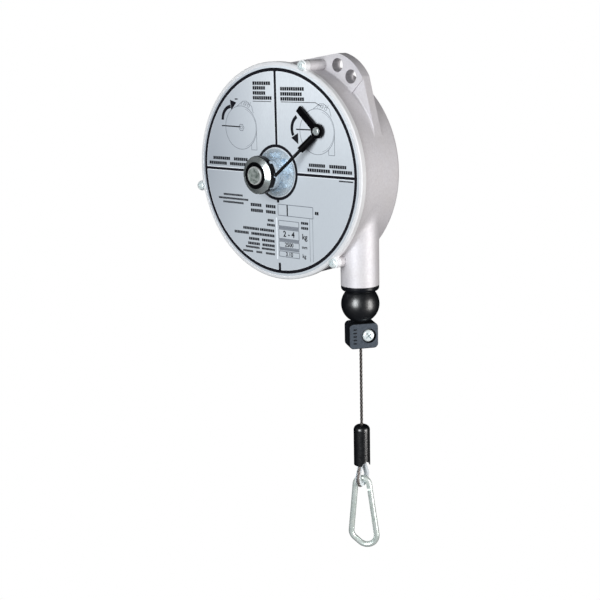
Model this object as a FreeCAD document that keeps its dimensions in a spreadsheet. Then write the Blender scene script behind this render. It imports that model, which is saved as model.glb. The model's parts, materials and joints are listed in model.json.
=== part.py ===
import FreeCAD, Part

# Spring tool balancer: a cast round housing that hangs from a lug, a conical rope drum on a tension arbor,
# a flat spiral spring, and a wire rope with a buffer ball, a rope clamp and a snap hook.
# Every size below is in millimetres or degrees. The working frame has the arbor's axis along Y, through
# X = 0 and Z = 0, with the label's face at Y = 0, the back of the housing at +Y and +Z up.
# The finished part is shifted so that its origin is the middle of the suspension hole in the lug.

import math
import os
import re

import Sketcher

V = FreeCAD.Vector
DOC = FreeCAD.newDocument("ToolBalancer")
NODES = []

SIZES = {
    # Housing casting
    "body_r": 107.7, "body_wall": 4, "body_depth": 64, "back_round": 5,
    "rear_boss_r": 18, "rear_boss_y": 50.5, "rear_skin": 2.5,
    # Front cover and label
    "cover_t": 6, "cover_plate_t": 4.5, "rim_lip": 1.8, "rim_chamfer": 1, "spigot_t": 3, "spigot_w": 4,
    "spigot_gap": 0.1, "cover_boss_r": 18, "cover_boss_y": 13, "label_inset": 2.1, "label_gap": 0.8,
    "label_t": 0.5, "label_hole_r": 14,
    # Cover screws and their bosses
    "boss_out": 3.8, "boss_angle": 70.5, "boss_r": 5.5, "boss_y": 30, "screw_r": 2.5,
    "screw_head_r": 4.6, "screw_head_t": 3.2, "screw_length": 22, "screw_gap": 0.1,
    # Lug
    "lug_front_y": 30, "lug_t": 12, "lug_left_x": -14, "lug_peak_x": 57.5, "lug_peak_z": 116.1,
    "lug_round": 46, "lug_shoulder_x": 86.5, "lug_shoulder_z": 94, "lug_right_z": 28.5, "lug_fillet": 2,
    "gusset_step": 2, "gusset_angle": 46.5, "gusset_outer_r": 134,
    "lug_hole_r": 6.75, "hang_x": 56.6, "hang_z": 104.7, "safety_x": 73.1, "safety_z": 93.8,
    # Spout and rope guide
    "rope_x": 80, "rope_y": 32, "spout_r": 19.4, "spout_drop": 110.8, "spout_bore_r": 16.2,
    "guide_gap": 0.05, "guide_flange_t": 5.7, "guide_corner": 5, "guide_nose_r": 13.5,
    "guide_plug": 15.8, "guide_bore_r": 2, "guide_flare": 3,
    # Wire rope
    "rope_d": 3, "rope_break_drop": 40, "rope_clear": 0.1, "wrap_angle": 240,
    # Tension arbor and its bushes
    "front_journal_r": 10, "rear_journal_r": 8, "running_gap": 0.05, "bush_t": 3, "arbor_shoulder_y": 50.35,
    "arbor_end_gap": 0.3, "spigot_r": 7, "spigot_drop": 28, "hub_seat": 1.5,
    # Rope drum
    "hub_r": 18, "hub_back_y": 50.2, "web_y": 42, "web_t": 4, "chamber_r": 58, "chamber_y": 18,
    "drum_wall_r": 68, "lip_y": 28.3, "lip_t": 2, "lip_r": 84, "cone_step": 2, "groove_pitch": 3.4,
    "groove_count": 6, "ridge_drop": 0.8, "groove_gap": 0.15, "flange_y": 51, "flange_t": 2.2,
    "flange_in": 7.7, "rim_wall": 6,
    # Spring chamber cover and its screws
    "lid_t": 3, "lid_hub_y": 13.5, "lid_hub_back_y": 20, "lid_screw_circle_r": 63, "lid_screw_r": 1.5,
    "lid_screw_head_r": 2.9, "lid_screw_head_t": 1.2, "lid_screw_length": 8, "lid_screw_count": 6,
    # Power spring
    "strip_t": 0.9, "strip_pitch": 2.4, "strip_turns": 7, "strip_wall_gap": 0.3, "strip_side_gap": 0.5,
    "collar_r": 14, "collar_gap": 0.3, "free_turns": 2.5,
    # Ratchet hub in front of the label
    "hub_flange_r": 23.8, "hub_flange_gap": 0.3, "hub_flange_t": 1.2, "tooth_tip_r": 20,
    "tooth_root_r": 17.4, "tooth_count": 8, "tooth_front": 9, "sleeve_r": 16.2, "disc_back": 22,
    "disc_r": 19, "disc_t": 6, "notch_w": 4, "notch_depth": 2.4, "notch_count": 8, "ring_r": 18.4,
    "ring_edge_t": 1, "ring_nose_r": 13.4, "ring_t": 3.8, "ring_floor_t": 2.2, "insert_t": 1.2,
    "bolt_head_r": 9.1, "bolt_head_t": 2.9, "bolt_dish_r": 7.6, "bolt_dish": 0.5, "bolt_r": 4,
    "bolt_length": 16,
    # Locking pawl
    "pawl_x": 58, "pawl_z": 43.4, "pawl_back": 2.6, "pawl_t": 2.6, "eye_r": 7, "pivot_r": 2.5,
    "pivot_gap": 0.05, "pivot_head_r": 3.9, "pivot_head_t": 2, "pivot_thread_r": 2, "thumb_length": 31.5,
    "thumb_angle": 138, "thumb_w": 6.8, "rod_r": 1.6, "grip_r": 3.5, "grip_start": 0.8, "grip_length": 18,
    "rod_tip_x": 21, "rod_tip_y": -25.5, "rod_tip_z": 0.2, "coil_r": 4.4, "coil_wire_r": 0.5,
    # Buffer ball, rope clamp and its screw
    "ball_r": 19.4, "ball_reach": 13.8, "ball_seat_gap": 0.3, "ball_under": 18.8,
    "clamp_w": 30, "clamp_t": 20, "clamp_tall": 26, "clamp_corner": 4.5, "clamp_split": 0.4,
    "clamp_turn": 54, "clamp_edge": 1, "clamp_offset": 0.7, "clamp_screw_u": 6, "clamp_screw_r": 4,
    "clamp_head_r": 6.2, "clamp_head_t": 6, "clamp_recess_r": 7.5, "clamp_screw_length": 16,
    # Rope end: sleeve, ferrule and thimble
    "sleeve_top_drop": 259.5, "sleeve_tall": 43, "sheath_r": 8.5, "sheath_t": 1.2, "sheath_round": 5,
    "arch_r": 5, "ferrule_r": 5, "ferrule_top_drop": 266, "ferrule_tall": 25,
    "thimble_drop": 315.9, "thimble_eye_r": 6.8, "thimble_half_angle": 25, "thimble_w": 4.4,
    "thimble_base_t": 0.8, "thimble_cheek": 0.6, "thimble_deep": 3.2, "thimble_turn": 96, "sleeve_turn": 76,
    # Snap hook
    "hook_drop": 325.2, "hook_turn": 28, "wire_r": 3, "bow_r": 7.3, "corner_x": 2.2, "corner_drop": 52.5,
    "corner_r": 10, "bend_x": 3.8, "bend_drop": 56.2, "bend_r": 11, "hinge_down": 8.5, "nose_up": 17,
    "pin_reach": 3.8, "eye_reach": 2.6, "gate_r": 2.9, "gate_gap": 0.3, "gate_pin_r": 1, "gate_pin_gap": 0.1,
    "tang_t": 2.2, "tang_w": 5, "tang_gap": 0.1, "catch_tall": 5, "catch_inner": -0.4, "keeper_r": 0.7,
}


def make_sheet():
    """The driving sizes, one named cell each."""
    sheet = DOC.addObject("Spreadsheet::Sheet", "Sizes")
    for row, (name, size) in enumerate(SIZES.items(), 1):
        sheet.set(f"A{row}", name)
        sheet.set(f"B{row}", str(size))
        sheet.setAlias(f"B{row}", name)
    DOC.recompute()
    return sheet


SHEET = make_sheet()


# ---------------------------------------------------------------- expressions and bodies

def full(text):
    """The expression with each size's name written as a sheet reference."""
    return re.sub(r"[a-z_][a-z_0-9]*", lambda m: "Sizes." + m.group() if m.group() in SIZES else m.group(), text)


def number(text):
    """The present value of an expression."""
    return float(SHEET.evalExpression(full(text)))


def bind(item, path, text):
    item.setExpression(path, full(text))


HANG = ("hang_x", "lug_front_y + lug_t / 2", "hang_z")


def place(item, at=("0", "0", "0")):
    """Put an object's own origin at a point of the working frame, seen from the suspension hole."""
    for axis, here, hang in zip("xyz", at, HANG):
        bind(item, f"Placement.Base.{axis}", f"({here}) - ({hang})")


def face_towards(body, turn):
    """Turn a body about its own upright axis."""
    body.Placement = FreeCAD.Placement(body.Placement.Base, FreeCAD.Rotation(V(0, 0, 1), 1))
    bind(body, "Placement.Rotation.Angle", turn)


def new_body(label, at=("0", "0", "0"), turn=None):
    body = DOC.addObject("PartDesign::Body", label)
    body.Label = label
    place(body, at)
    if turn:
        face_towards(body, turn)
    NODES.append(body)
    return body


# ---------------------------------------------------------------- sketches

def sketch(body, plane, offset="0"):
    """A sketch on one of the body's own origin planes, or parallel to it."""
    role = plane + "_Plane"
    support = [f for f in body.Origin.OriginFeatures if f.Role == role][0]
    sk = body.newObject("Sketcher::SketchObject", body.Name + "_sketch")
    sk.AttachmentSupport = [(support, "")]
    sk.MapMode = "FlatFace"
    bind(sk, "AttachmentOffset.Base.z", offset)
    return sk


def face_sketch(body, y):
    """A sketch that faces the front, at depth y."""
    return sketch(body, "XZ", f"-({y})")


def pin_point(sk, geo, end, x, y):
    for kind, text in (("DistanceX", x), ("DistanceY", y)):
        index = sk.addConstraint(Sketcher.Constraint(kind, -1, 1, geo, end, number(text)))
        bind(sk, f"Constraints[{index}]", text)


def pin_radius(sk, geo, radius):
    index = sk.addConstraint(Sketcher.Constraint("Radius", geo, number(radius)))
    bind(sk, f"Constraints[{index}]", radius)


def circle(sk, x, y, radius):
    geo = sk.addGeometry(Part.Circle(V(number(x), number(y), 0), V(0, 0, 1), number(radius)), False)
    pin_point(sk, geo, 3, x, y)
    pin_radius(sk, geo, radius)


def short_arc(start, end, radius, turn):
    """The arc of less than half a turn from start to end: turn is 1 anticlockwise, -1 clockwise."""
    chord = end - start
    reach = math.sqrt(max(radius ** 2 - chord.Length ** 2 / 4, 0))
    centre = (start + end) / 2 + V(-chord.y, chord.x, 0).normalize() * reach * turn
    first, last = (start, end) if turn > 0 else (end, start)
    angles = [math.atan2(p.y - centre.y, p.x - centre.x) for p in (first, last)]
    return Part.ArcOfCircle(Part.Circle(centre, V(0, 0, 1), radius), *angles)


def outline(sk, points, closed=True):
    """A profile or path. A point is (x, y), or (x, y, radius, turn) where an arc leads to the next one."""
    spots = [V(number(p[0]), number(p[1]), 0) for p in points]
    sides = []
    for index, point in enumerate(points if closed else points[:-1]):
        start, end = spots[index], spots[(index + 1) % len(points)]
        if len(point) == 2:
            geo = sk.addGeometry(Part.LineSegment(start, end), False)
            sides.append((geo, 1, 2))
        else:
            geo = sk.addGeometry(short_arc(start, end, number(point[2]), point[3]), False)
            sides.append((geo, 1, 2) if point[3] > 0 else (geo, 2, 1))
            pin_radius(sk, geo, point[2])
    for index, (geo, start, end) in enumerate(sides):
        pin_point(sk, geo, start, points[index][0], points[index][1])
        if closed or index < len(sides) - 1:
            after = sides[(index + 1) % len(sides)]
            sk.addConstraint(Sketcher.Constraint("Coincident", geo, end, after[0], after[1]))
        else:
            pin_point(sk, geo, end, points[-1][0], points[-1][1])


# ---------------------------------------------------------------- features

def feature(body, kind, sk):
    item = body.newObject("PartDesign::" + kind, body.Name + "_" + kind)
    item.Profile = sk
    return item


def spin(body, sk, cut=False):
    """Turn a sketch right round about its upright axis."""
    item = feature(body, "Groove" if cut else "Revolution", sk)
    item.ReferenceAxis = (sk, ["V_Axis"])
    item.Angle = 360


def extrude(body, sk, length, cut=False, flip=False, both=False):
    item = feature(body, "Pocket" if cut else "Pad", sk)
    bind(item, "Length", length)
    item.Reversed = flip
    item.Midplane = both


def pad_back(body, sk, length):
    """Pad a front-facing sketch towards the back."""
    extrude(body, sk, length, flip=True)


def pocket_back(body, sk, length):
    extrude(body, sk, length, cut=True)


def turned(label, points):
    """A piece turned about the arbor's axis: points are (radius, y)."""
    body = new_body(label)
    sk = sketch(body, "XY")
    outline(sk, points)
    spin(body, sk)
    return body


def turned_upright(label, at, points):
    """A piece turned about an upright axis through a point: points are (radius, z)."""
    body = new_body(label, at)
    sk = sketch(body, "XZ")
    outline(sk, points)
    spin(body, sk)
    return body


def round_edges(body, radius, wanted):
    """Round the edges of the body so far that the test picks."""
    DOC.recompute()
    base = body.Tip
    names = [f"Edge{index}" for index, edge in enumerate(base.Shape.Edges, 1) if wanted(edge)]
    item = body.newObject("PartDesign::Fillet", body.Name + "_Fillet")
    item.Base = (base, names)
    bind(item, "Radius", radius)
    body.Tip = item


def is_arc(edge, radius):
    return edge.Curve.TypeId == "Part::GeomCircle" and abs(edge.Curve.Radius - number(radius)) < 0.01


def within(edge, **limits):
    """Whether an edge lies between the two depths or heights given for an axis, such as y=("0", "5")."""
    box = edge.BoundBox
    spans = {"x": (box.XMin, box.XMax), "y": (box.YMin, box.YMax), "z": (box.ZMin, box.ZMax)}
    return all(spans[axis][0] > number(low) - 0.01 and spans[axis][1] < number(high) + 0.01
               for axis, (low, high) in limits.items())


def sweep(body, spine, radius, sides=0):
    """A bar along an open path sketched in the body: round, or hexagonal where sides is 6."""
    profile = body.newObject("Sketcher::SketchObject", body.Name + "_section")
    DOC.recompute()
    profile.AttachmentSupport = [(spine, "Edge1")]
    profile.MapMode = "NormalToEdge"
    profile.MapPathParameter = 0
    if sides:
        outline(profile, hexagon("0", "0", radius))
    else:
        geo = profile.addGeometry(Part.Circle(V(), V(0, 0, 1), number(radius)), False)
        profile.addConstraint(Sketcher.Constraint("Coincident", geo, 3, -1, 1))
        pin_radius(profile, geo, radius)
    feature(body, "AdditivePipe", profile).Spine = spine


def ring(label, inner, outer, front, back):
    return turned(label, [(inner, front), (outer, front), (outer, back), (inner, back)])


def primitive(kind, name, sizes, at, rotation=None):
    """A Part primitive with bound sizes, at a point of the working frame."""
    item = DOC.addObject("Part::" + kind, name)
    for key, text in sizes.items():
        bind(item, key, text)
    item.Placement = FreeCAD.Placement(V(), rotation or FreeCAD.Rotation())
    place(item, at)
    return item


def group(label, kind, links):
    item = DOC.addObject("Part::" + kind, label)
    item.Label = label
    if kind == "Cut":
        item.Base, item.Tool = links
    elif kind == "Compound":
        item.Links = links
    else:
        item.Shapes = links
    return item


TO_BACK = FreeCAD.Rotation(V(1, 0, 0), -90)
ROPE = ("rope_x", "rope_y", "0")
RIM = "(body_r + rim_lip)"
LABEL = "(body_r - label_inset)"
BOSS_CIRCLE = "(body_r + boss_out)"
FLANGE = "(body_r - body_wall - flange_in)"
ROPE_STOP = "(spout_drop + guide_flange_t + ball_seat_gap)"
BALL = f"({ROPE_STOP} + ball_reach)"
BALL_LOW = f"({BALL} + ball_under)"


def boss_angles():
    return [f"(boss_angle + {turn})" for turn in (0, 120, 240)]


def boss_at(angle):
    return f"{BOSS_CIRCLE} * cos{angle}", f"{BOSS_CIRCLE} * sin{angle}"


# ---------------------------------------------------------------- housing

def rear_housing():
    body = new_body("rear_housing")
    shell = sketch(body, "XY")
    outline(shell, [("0", "cover_t"), ("body_r", "cover_t"), ("body_r", "body_depth - back_round", "back_round", 1),
                    ("body_r - back_round", "body_depth"), ("0", "body_depth")])
    spin(body, shell)

    lug = face_sketch(body, "lug_front_y")
    outline(lug, [("0", "0"), ("sqrt(body_r ^ 2 - lug_right_z ^ 2) - 0.5", "lug_right_z"),
                  ("lug_shoulder_x", "lug_shoulder_z", "lug_round", 1), ("lug_peak_x", "lug_peak_z"),
                  ("lug_left_x", "sqrt(body_r ^ 2 - lug_left_x ^ 2) - 0.5")])
    pad_back(body, lug, "lug_t")

    gusset = face_sketch(body, "lug_front_y")
    outline(gusset, [("body_r * cos(10)", "body_r * sin(10)"), ("gusset_outer_r * cos(10)", "gusset_outer_r * sin(10)"),
                     ("gusset_outer_r * cos(gusset_angle)", "gusset_outer_r * sin(gusset_angle)"),
                     ("body_r * cos(gusset_angle)", "body_r * sin(gusset_angle)", "body_r", -1)])
    pocket_back(body, gusset, "gusset_step")
    round_edges(body, "lug_fillet",
                lambda edge: is_arc(edge, "body_r") and within(edge, y=("lug_front_y", "lug_front_y + lug_t")))

    spout = sketch(body, "XY")
    circle(spout, "rope_x", "rope_y", "spout_r")
    extrude(body, spout, "spout_drop", flip=True)

    bosses = face_sketch(body, "cover_t")
    for angle in boss_angles():
        circle(bosses, *boss_at(angle), "boss_r")
    pad_back(body, bosses, "boss_y - cover_t + 1")

    hollow = sketch(body, "XY")
    outline(hollow, [("0", "cover_t"), ("body_r - body_wall", "cover_t"),
                     ("body_r - body_wall", "body_depth - body_wall"), ("rear_boss_r", "body_depth - body_wall"),
                     ("rear_boss_r", "rear_boss_y"), ("rear_journal_r + bush_t", "rear_boss_y"),
                     ("rear_journal_r + bush_t", "body_depth - rear_skin"), ("0", "body_depth - rear_skin")])
    spin(body, hollow, cut=True)

    passage = sketch(body, "XY")
    circle(passage, "rope_x", "rope_y", "spout_bore_r")
    extrude(body, passage, "spout_drop + 1", cut=True)

    holes = face_sketch(body, "lug_front_y")
    circle(holes, "hang_x", "hang_z", "lug_hole_r")
    circle(holes, "safety_x", "safety_z", "lug_hole_r")
    pocket_back(body, holes, "lug_t + 1")

    threads = face_sketch(body, "cover_t")
    for angle in boss_angles():
        circle(threads, *boss_at(angle), "screw_r")
    pocket_back(body, threads, "screw_length - cover_t + 1")


def front_cover():
    body = turned("front_cover", [
        ("front_journal_r + bush_t", "label_t"), (f"{LABEL} + label_gap", "label_t"), (f"{LABEL} + label_gap", "0"),
        (f"{RIM} - rim_chamfer", "0"), (RIM, "rim_chamfer"), (RIM, "cover_t"),
        ("body_r - body_wall - spigot_gap", "cover_t"), ("body_r - body_wall - spigot_gap", "cover_t + spigot_t"),
        ("body_r - body_wall - spigot_w", "cover_t + spigot_t"), ("body_r - body_wall - spigot_w", "cover_plate_t"),
        ("cover_boss_r", "cover_plate_t"), ("cover_boss_r", "cover_boss_y"),
        ("front_journal_r + bush_t", "cover_boss_y")])
    ears = face_sketch(body, "0")
    for angle in boss_angles():
        circle(ears, *boss_at(angle), "boss_r")
    pad_back(body, ears, "cover_t")
    holes = face_sketch(body, "0")
    for angle in boss_angles():
        circle(holes, *boss_at(angle), "screw_r + screw_gap")
    pocket_back(body, holes, "cover_t + 1")
    pivot = face_sketch(body, "0")
    circle(pivot, "pawl_x", "pawl_z", "pivot_thread_r")
    pocket_back(body, pivot, "cover_t")


def label_plate():
    body = ring("label_plate", "label_hole_r", LABEL, "0", "label_t")
    pivot = face_sketch(body, "0")
    circle(pivot, "pawl_x", "pawl_z", "pivot_r + 0.3")
    pocket_back(body, pivot, "label_t + 1")


def cover_screws():
    screws = []
    for index, angle in enumerate(boss_angles()):
        x, z = boss_at(angle)
        head = primitive("Cylinder", f"cover_screw_head_{index}", {"Radius": "screw_head_r", "Height": "screw_head_t"},
                         (x, "-screw_head_t", z), TO_BACK)
        shank = primitive("Cylinder", f"cover_screw_shank_{index}", {"Radius": "screw_r", "Height": "screw_length"},
                          (x, "0", z), TO_BACK)
        screws.append(group(f"cover_screw_{index}", "MultiFuse", [head, shank]))
    NODES.append(group("cover_screws", "Compound", screws))


def rope_guide():
    """Nylon guide: a long plug in the spout, and a flange below it that the ball stops against."""
    mouth = "guide_bore_r + guide_flare"
    foot = "-(spout_drop + guide_flange_t)"
    top = "guide_plug - spout_drop"
    turned_upright("rope_guide", ROPE, [
        ("guide_bore_r", f"{foot} + guide_flare"), (mouth, foot),
        ("guide_nose_r", foot, "guide_corner", 1), ("spout_r - 0.2", "-spout_drop - 1.5"),
        ("spout_r - 0.2", "-spout_drop"), ("spout_bore_r - guide_gap", "-spout_drop"),
        ("spout_bore_r - guide_gap", top), (mouth, top), ("guide_bore_r", f"{top} - guide_flare")])


# ---------------------------------------------------------------- arbor, drum and spring

def arbor():
    turned("tension_arbor", [
        ("bolt_r", "-spigot_drop"), ("spigot_r", "-spigot_drop"), ("spigot_r", "-hub_seat"),
        ("front_journal_r", "-hub_seat"), ("front_journal_r", "arbor_shoulder_y"),
        ("rear_journal_r", "arbor_shoulder_y"), ("rear_journal_r", "body_depth - rear_skin - arbor_end_gap"),
        ("0", "body_depth - rear_skin - arbor_end_gap"), ("0", "-spigot_drop + bolt_length + 1"),
        ("bolt_r", "-spigot_drop + bolt_length + 1")])


def bushes():
    front, rear = "front_journal_r", "rear_journal_r"
    ring("front_bush", f"{front} + running_gap", f"{front} + bush_t", "label_t", "cover_boss_y")
    ring("rear_bush", f"{rear} + running_gap", f"{rear} + bush_t", "rear_boss_y", "body_depth - rear_skin")
    ring("drum_front_bush", f"{front} + running_gap", f"{front} + bush_t", "lid_hub_y", "lid_hub_back_y")
    ring("drum_rear_bush", f"{front} + running_gap", f"{front} + bush_t", "web_y", "hub_back_y")


def hexagon(x, y, radius):
    return [(f"{x} + {radius} * cos({60 * corner})", f"{y} + {radius} * sin({60 * corner})") for corner in range(6)]


def hexagon_ring(ring_r, radius, at):
    """A ring of hexagonal section about an axis along Y: a plain stand-in for a turn of rope or wire."""
    middle = [number(text) for text in at]
    corners = [V(number(x), number(y), 0) for x, y in hexagon(ring_r, "0", radius)]
    section = Part.Face(Part.makePolygon(corners + corners[:1]))
    return section.revolve(V(), V(0, 1, 0), 360).translated(V(*middle))


def cone(y):
    """The drum's winding surface at depth y."""
    return f"(rope_x - ridge_drop + (({y}) - rope_y) * cone_step / groove_pitch)"


def rope_drum():
    """Conical winding drum: one rope groove per turn, with the spring chamber in its open front."""
    bore, web_back = "front_journal_r + bush_t", "web_y + web_t"
    flange_back, lip_back = "flange_y + flange_t", "lip_y + lip_t"
    body = turned("rope_drum", [
        (bore, "web_y"), ("chamber_r", "web_y"), ("chamber_r", "chamber_y"), ("drum_wall_r", "chamber_y"),
        ("drum_wall_r", "lip_y"), ("lip_r", "lip_y"), ("lip_r", lip_back), (cone(lip_back), lip_back),
        (cone("flange_y"), "flange_y"), (FLANGE, "flange_y"), (FLANGE, flange_back),
        (f"{cone(flange_back)} - rim_wall", flange_back), (f"{cone(web_back)} - rim_wall", web_back),
        ("hub_r", web_back), ("hub_r", "hub_back_y"), (bore, "hub_back_y")])
    grooves = sketch(body, "XY")
    for turn in range(int(SIZES["groove_count"])):
        outline(grooves, hexagon(f"rope_x + cone_step * {turn}", f"rope_y + groove_pitch * {turn}",
                                 "(rope_d / 2 + groove_gap) / cos(30)"))
    spin(body, grooves, cut=True)
    threads = face_sketch(body, "chamber_y")
    for angle in lid_screw_angles():
        circle(threads, f"lid_screw_circle_r * cos({angle})", f"lid_screw_circle_r * sin({angle})", "lid_screw_r")
    pocket_back(body, threads, "lid_screw_length - lid_t + 0.5")


def lid_screw_angles():
    count = int(SIZES["lid_screw_count"])
    return [360 / count * turn for turn in range(count)]


def spring_cover():
    bore = "front_journal_r + bush_t"
    body = turned("spring_cover", [
        (bore, "lid_hub_y"), ("hub_r", "lid_hub_y"), ("hub_r", "chamber_y - lid_t"), ("drum_wall_r", "chamber_y - lid_t"),
        ("drum_wall_r", "chamber_y"), ("hub_r", "chamber_y"), ("hub_r", "lid_hub_back_y"), (bore, "lid_hub_back_y")])
    holes = face_sketch(body, "chamber_y - lid_t")
    for angle in lid_screw_angles():
        circle(holes, f"lid_screw_circle_r * cos({angle})", f"lid_screw_circle_r * sin({angle})", "lid_screw_r + screw_gap")
    pocket_back(body, holes, "lid_t + 1")


def spring_cover_screws():
    screws = []
    for index, angle in enumerate(lid_screw_angles()):
        x, z = f"lid_screw_circle_r * cos({angle})", f"lid_screw_circle_r * sin({angle})"
        face = "chamber_y - lid_t"
        head = primitive("Cylinder", f"lid_screw_head_{index}", {"Radius": "lid_screw_head_r", "Height": "lid_screw_head_t"},
                         (x, f"{face} - lid_screw_head_t", z), TO_BACK)
        shank = primitive("Cylinder", f"lid_screw_shank_{index}", {"Radius": "lid_screw_r", "Height": "lid_screw_length"},
                          (x, face, z), TO_BACK)
        screws.append(group(f"lid_screw_{index}", "MultiFuse", [head, shank]))
    NODES.append(group("spring_cover_screws", "Compound", screws))


def spring_collar():
    ring("spring_collar", "front_journal_r", "collar_r", "lid_hub_back_y + strip_side_gap", "web_y - strip_side_gap")


def set_shape(label, shape, at=("0", "0", "0"), turn="0"):
    """A sub-part whose shape is worked out from the sheet by Part's own functions."""
    item = DOC.addObject("Part::Feature", label)
    item.Label = label
    item.Shape = shape
    shift = V(*[number(f"({here}) - ({hang})") for here, hang in zip(at, HANG)])
    item.Placement = FreeCAD.Placement(shift, FreeCAD.Rotation(V(0, 0, 1), number(turn)))
    NODES.append(item)


def half_turns(radii, offset, y):
    """Half circles about alternate centres, each starting where the last one ends."""
    edges = []
    centre = 0
    side = 1
    for radius, after in zip(radii, radii[1:] + radii[-1:]):
        reach = side * (radius + offset)
        arc = Part.Arc(V(centre + reach, y, 0), V(centre, y, reach), V(centre - reach, y, 0))
        edges.append(arc.toShape())
        centre -= side * (radius - after)
        side = -side
    return edges


def power_spring():
    """Flat spiral strip: wound close against the chamber's wall, then opening towards the collar."""
    outer = number("chamber_r - strip_wall_gap - strip_t")
    inner = number("collar_r + collar_gap")
    step = number("strip_pitch / 2")
    radii = [outer - step * turn for turn in range(int(2 * number("strip_turns")))]
    free = int(2 * number("free_turns"))
    free_step = (radii[-1] - inner + step) / (free + 1)
    radii += [radii[-1] - free_step * (turn + 1) for turn in range(free)]
    front, back = number("lid_hub_back_y + strip_side_gap"), number("web_y - strip_side_gap")
    outside, inside = half_turns(radii, number("strip_t"), front), half_turns(radii, 0, front)
    ends = [Part.makeLine(outside[at].Vertexes[at].Point, inside[at].Vertexes[at].Point) for at in (0, -1)]
    edges = Part.__sortEdges__(outside + inside + ends)
    set_shape("power_spring", Part.Face(Part.Wire(edges)).extrude(V(0, back - front, 0)))


def wound_rope():
    turns = [hexagon_ring(f"rope_x + cone_step * {turn}", "rope_d / 2", ("0", f"rope_y + groove_pitch * {turn}", "0"))
             for turn in range(1, int(SIZES["groove_count"]))]
    set_shape("wound_rope", Part.makeCompound(turns))


def housed_rope():
    """The rope in the drum's first groove, over the top, and straight down to where it starts to travel."""
    body = new_body("housed_rope")
    path = face_sketch(body, "rope_y")
    middle = "wrap_angle / 2"
    outline(path, [("rope_x", "-rope_break_drop"), ("rope_x", "0", "rope_x", 1),
                   (f"rope_x * cos({middle})", f"rope_x * sin({middle})", "rope_x", 1),
                   ("rope_x * cos(wrap_angle)", "rope_x * sin(wrap_angle)")], closed=False)
    sweep(body, path, "rope_d / 2", sides=6)


# ---------------------------------------------------------------- ratchet hub on the front

def ratchet_hub():
    body = turned("ratchet_hub", [
        ("spigot_r", "-disc_back"), ("sleeve_r", "-disc_back"), ("sleeve_r", "-hub_seat"),
        ("hub_flange_r", "-(hub_flange_gap + hub_flange_t)"), ("hub_flange_r", "-hub_flange_gap"),
        ("front_journal_r", "-hub_flange_gap"), ("front_journal_r", "-hub_seat"), ("spigot_r", "-hub_seat")])
    teeth = face_sketch(body, "-hub_seat")
    count = int(SIZES["tooth_count"])
    corners = []
    for tooth in range(count):
        angle = 360 / count * tooth
        corners.append((f"tooth_root_r * cos({angle})", f"tooth_root_r * sin({angle})"))
        corners.append((f"tooth_tip_r * cos({angle})", f"tooth_tip_r * sin({angle})"))
    outline(teeth, corners)
    circle(teeth, "0", "0", "spigot_r")
    extrude(body, teeth, "tooth_front - hub_seat")


def index_disc():
    body = ring("index_disc", "spigot_r", "disc_r", "-(disc_back + disc_t)", "-disc_back")
    notch = face_sketch(body, "-(disc_back + disc_t)")
    outline(notch, [("disc_r - notch_depth", "-notch_w / 2"), ("disc_r + 1", "-notch_w / 2"),
                    ("disc_r + 1", "notch_w / 2"), ("disc_r - notch_depth", "notch_w / 2")])
    pocket_back(body, notch, "disc_t + 1")
    first = body.Tip
    pattern = body.newObject("PartDesign::PolarPattern", "index_notches")
    pattern.Originals = [first]
    pattern.Axis = (notch, ["N_Axis"])
    pattern.Angle = 360
    pattern.Occurrences = int(SIZES["notch_count"])
    body.Tip = pattern


def lock_ring():
    back = "-(disc_back + disc_t)"
    turned("lock_ring", [
        ("spigot_r", back), ("ring_r", back), ("ring_r", f"{back} - ring_edge_t"), ("ring_nose_r", f"{back} - ring_t"),
        ("ring_nose_r", f"{back} - ring_floor_t"), ("spigot_r", f"{back} - ring_floor_t")])


def ring_insert():
    back = "-(disc_back + disc_t + ring_floor_t)"
    ring("ring_insert", "bolt_head_r + 0.1", "ring_nose_r", f"{back} - insert_t", back)


def hub_bolt():
    seat = "-(disc_back + disc_t + ring_floor_t)"
    turned("hub_bolt", [
        ("0", f"{seat} - bolt_head_t + bolt_dish"), ("bolt_dish_r", f"{seat} - bolt_head_t + bolt_dish"),
        ("bolt_dish_r", f"{seat} - bolt_head_t"), ("bolt_head_r - 0.5", f"{seat} - bolt_head_t"),
        ("bolt_head_r", f"{seat} - bolt_head_t + 0.5"), ("bolt_head_r", seat), ("bolt_r", seat),
        ("bolt_r", "-spigot_drop + bolt_length"), ("0", "-spigot_drop + bolt_length")])


# ---------------------------------------------------------------- locking pawl

PAWL = ("pawl_x", "0", "pawl_z")


def pawl_lever():
    body = new_body("pawl_lever", PAWL)
    plate = face_sketch(body, "-(pawl_back + pawl_t)")
    circle(plate, "0", "0", "eye_r")
    circle(plate, "0", "0", "pivot_r + pivot_gap")
    pad_back(body, plate, "pawl_t")
    thumb = face_sketch(body, "-(pawl_back + pawl_t)")
    ends = [(f"eye_r - 1.5", "-1"), ("thumb_length", "-1"), ("thumb_length", "1"), ("eye_r - 1.5", "1")]
    outline(thumb, [(f"({reach}) * cos(thumb_angle) - ({side}) * thumb_w / 2 * sin(thumb_angle)",
                     f"({reach}) * sin(thumb_angle) + ({side}) * thumb_w / 2 * cos(thumb_angle)") for reach, side in ends])
    pad_back(body, thumb, "pawl_t")
    return body


def rod_line():
    """Start, tip and direction of the pawl's rod, seen from the pivot. It starts within the eye's rim."""
    tip = V(*[number(text) for text in ("rod_tip_x - pawl_x", "rod_tip_y", "rod_tip_z - pawl_z")])
    rim = V(tip.x, 0, tip.z).normalize() * number("eye_r")
    start = rim + V(0, -number("pawl_back + pawl_t / 2"), 0)
    return start, tip, (tip - start).normalize()


def pawl_rod(lever):
    """Steel rod, coped to the rim of the lever's eye."""
    start, tip, way = rod_line()
    base = start - way * number("eye_r - pivot_head_r - rod_r")
    rod = Part.makeCylinder(number("rod_r"), (tip - base).Length, base, way)
    set_shape("pawl_rod", rod.cut(lever.Tip.Shape), PAWL)


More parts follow.
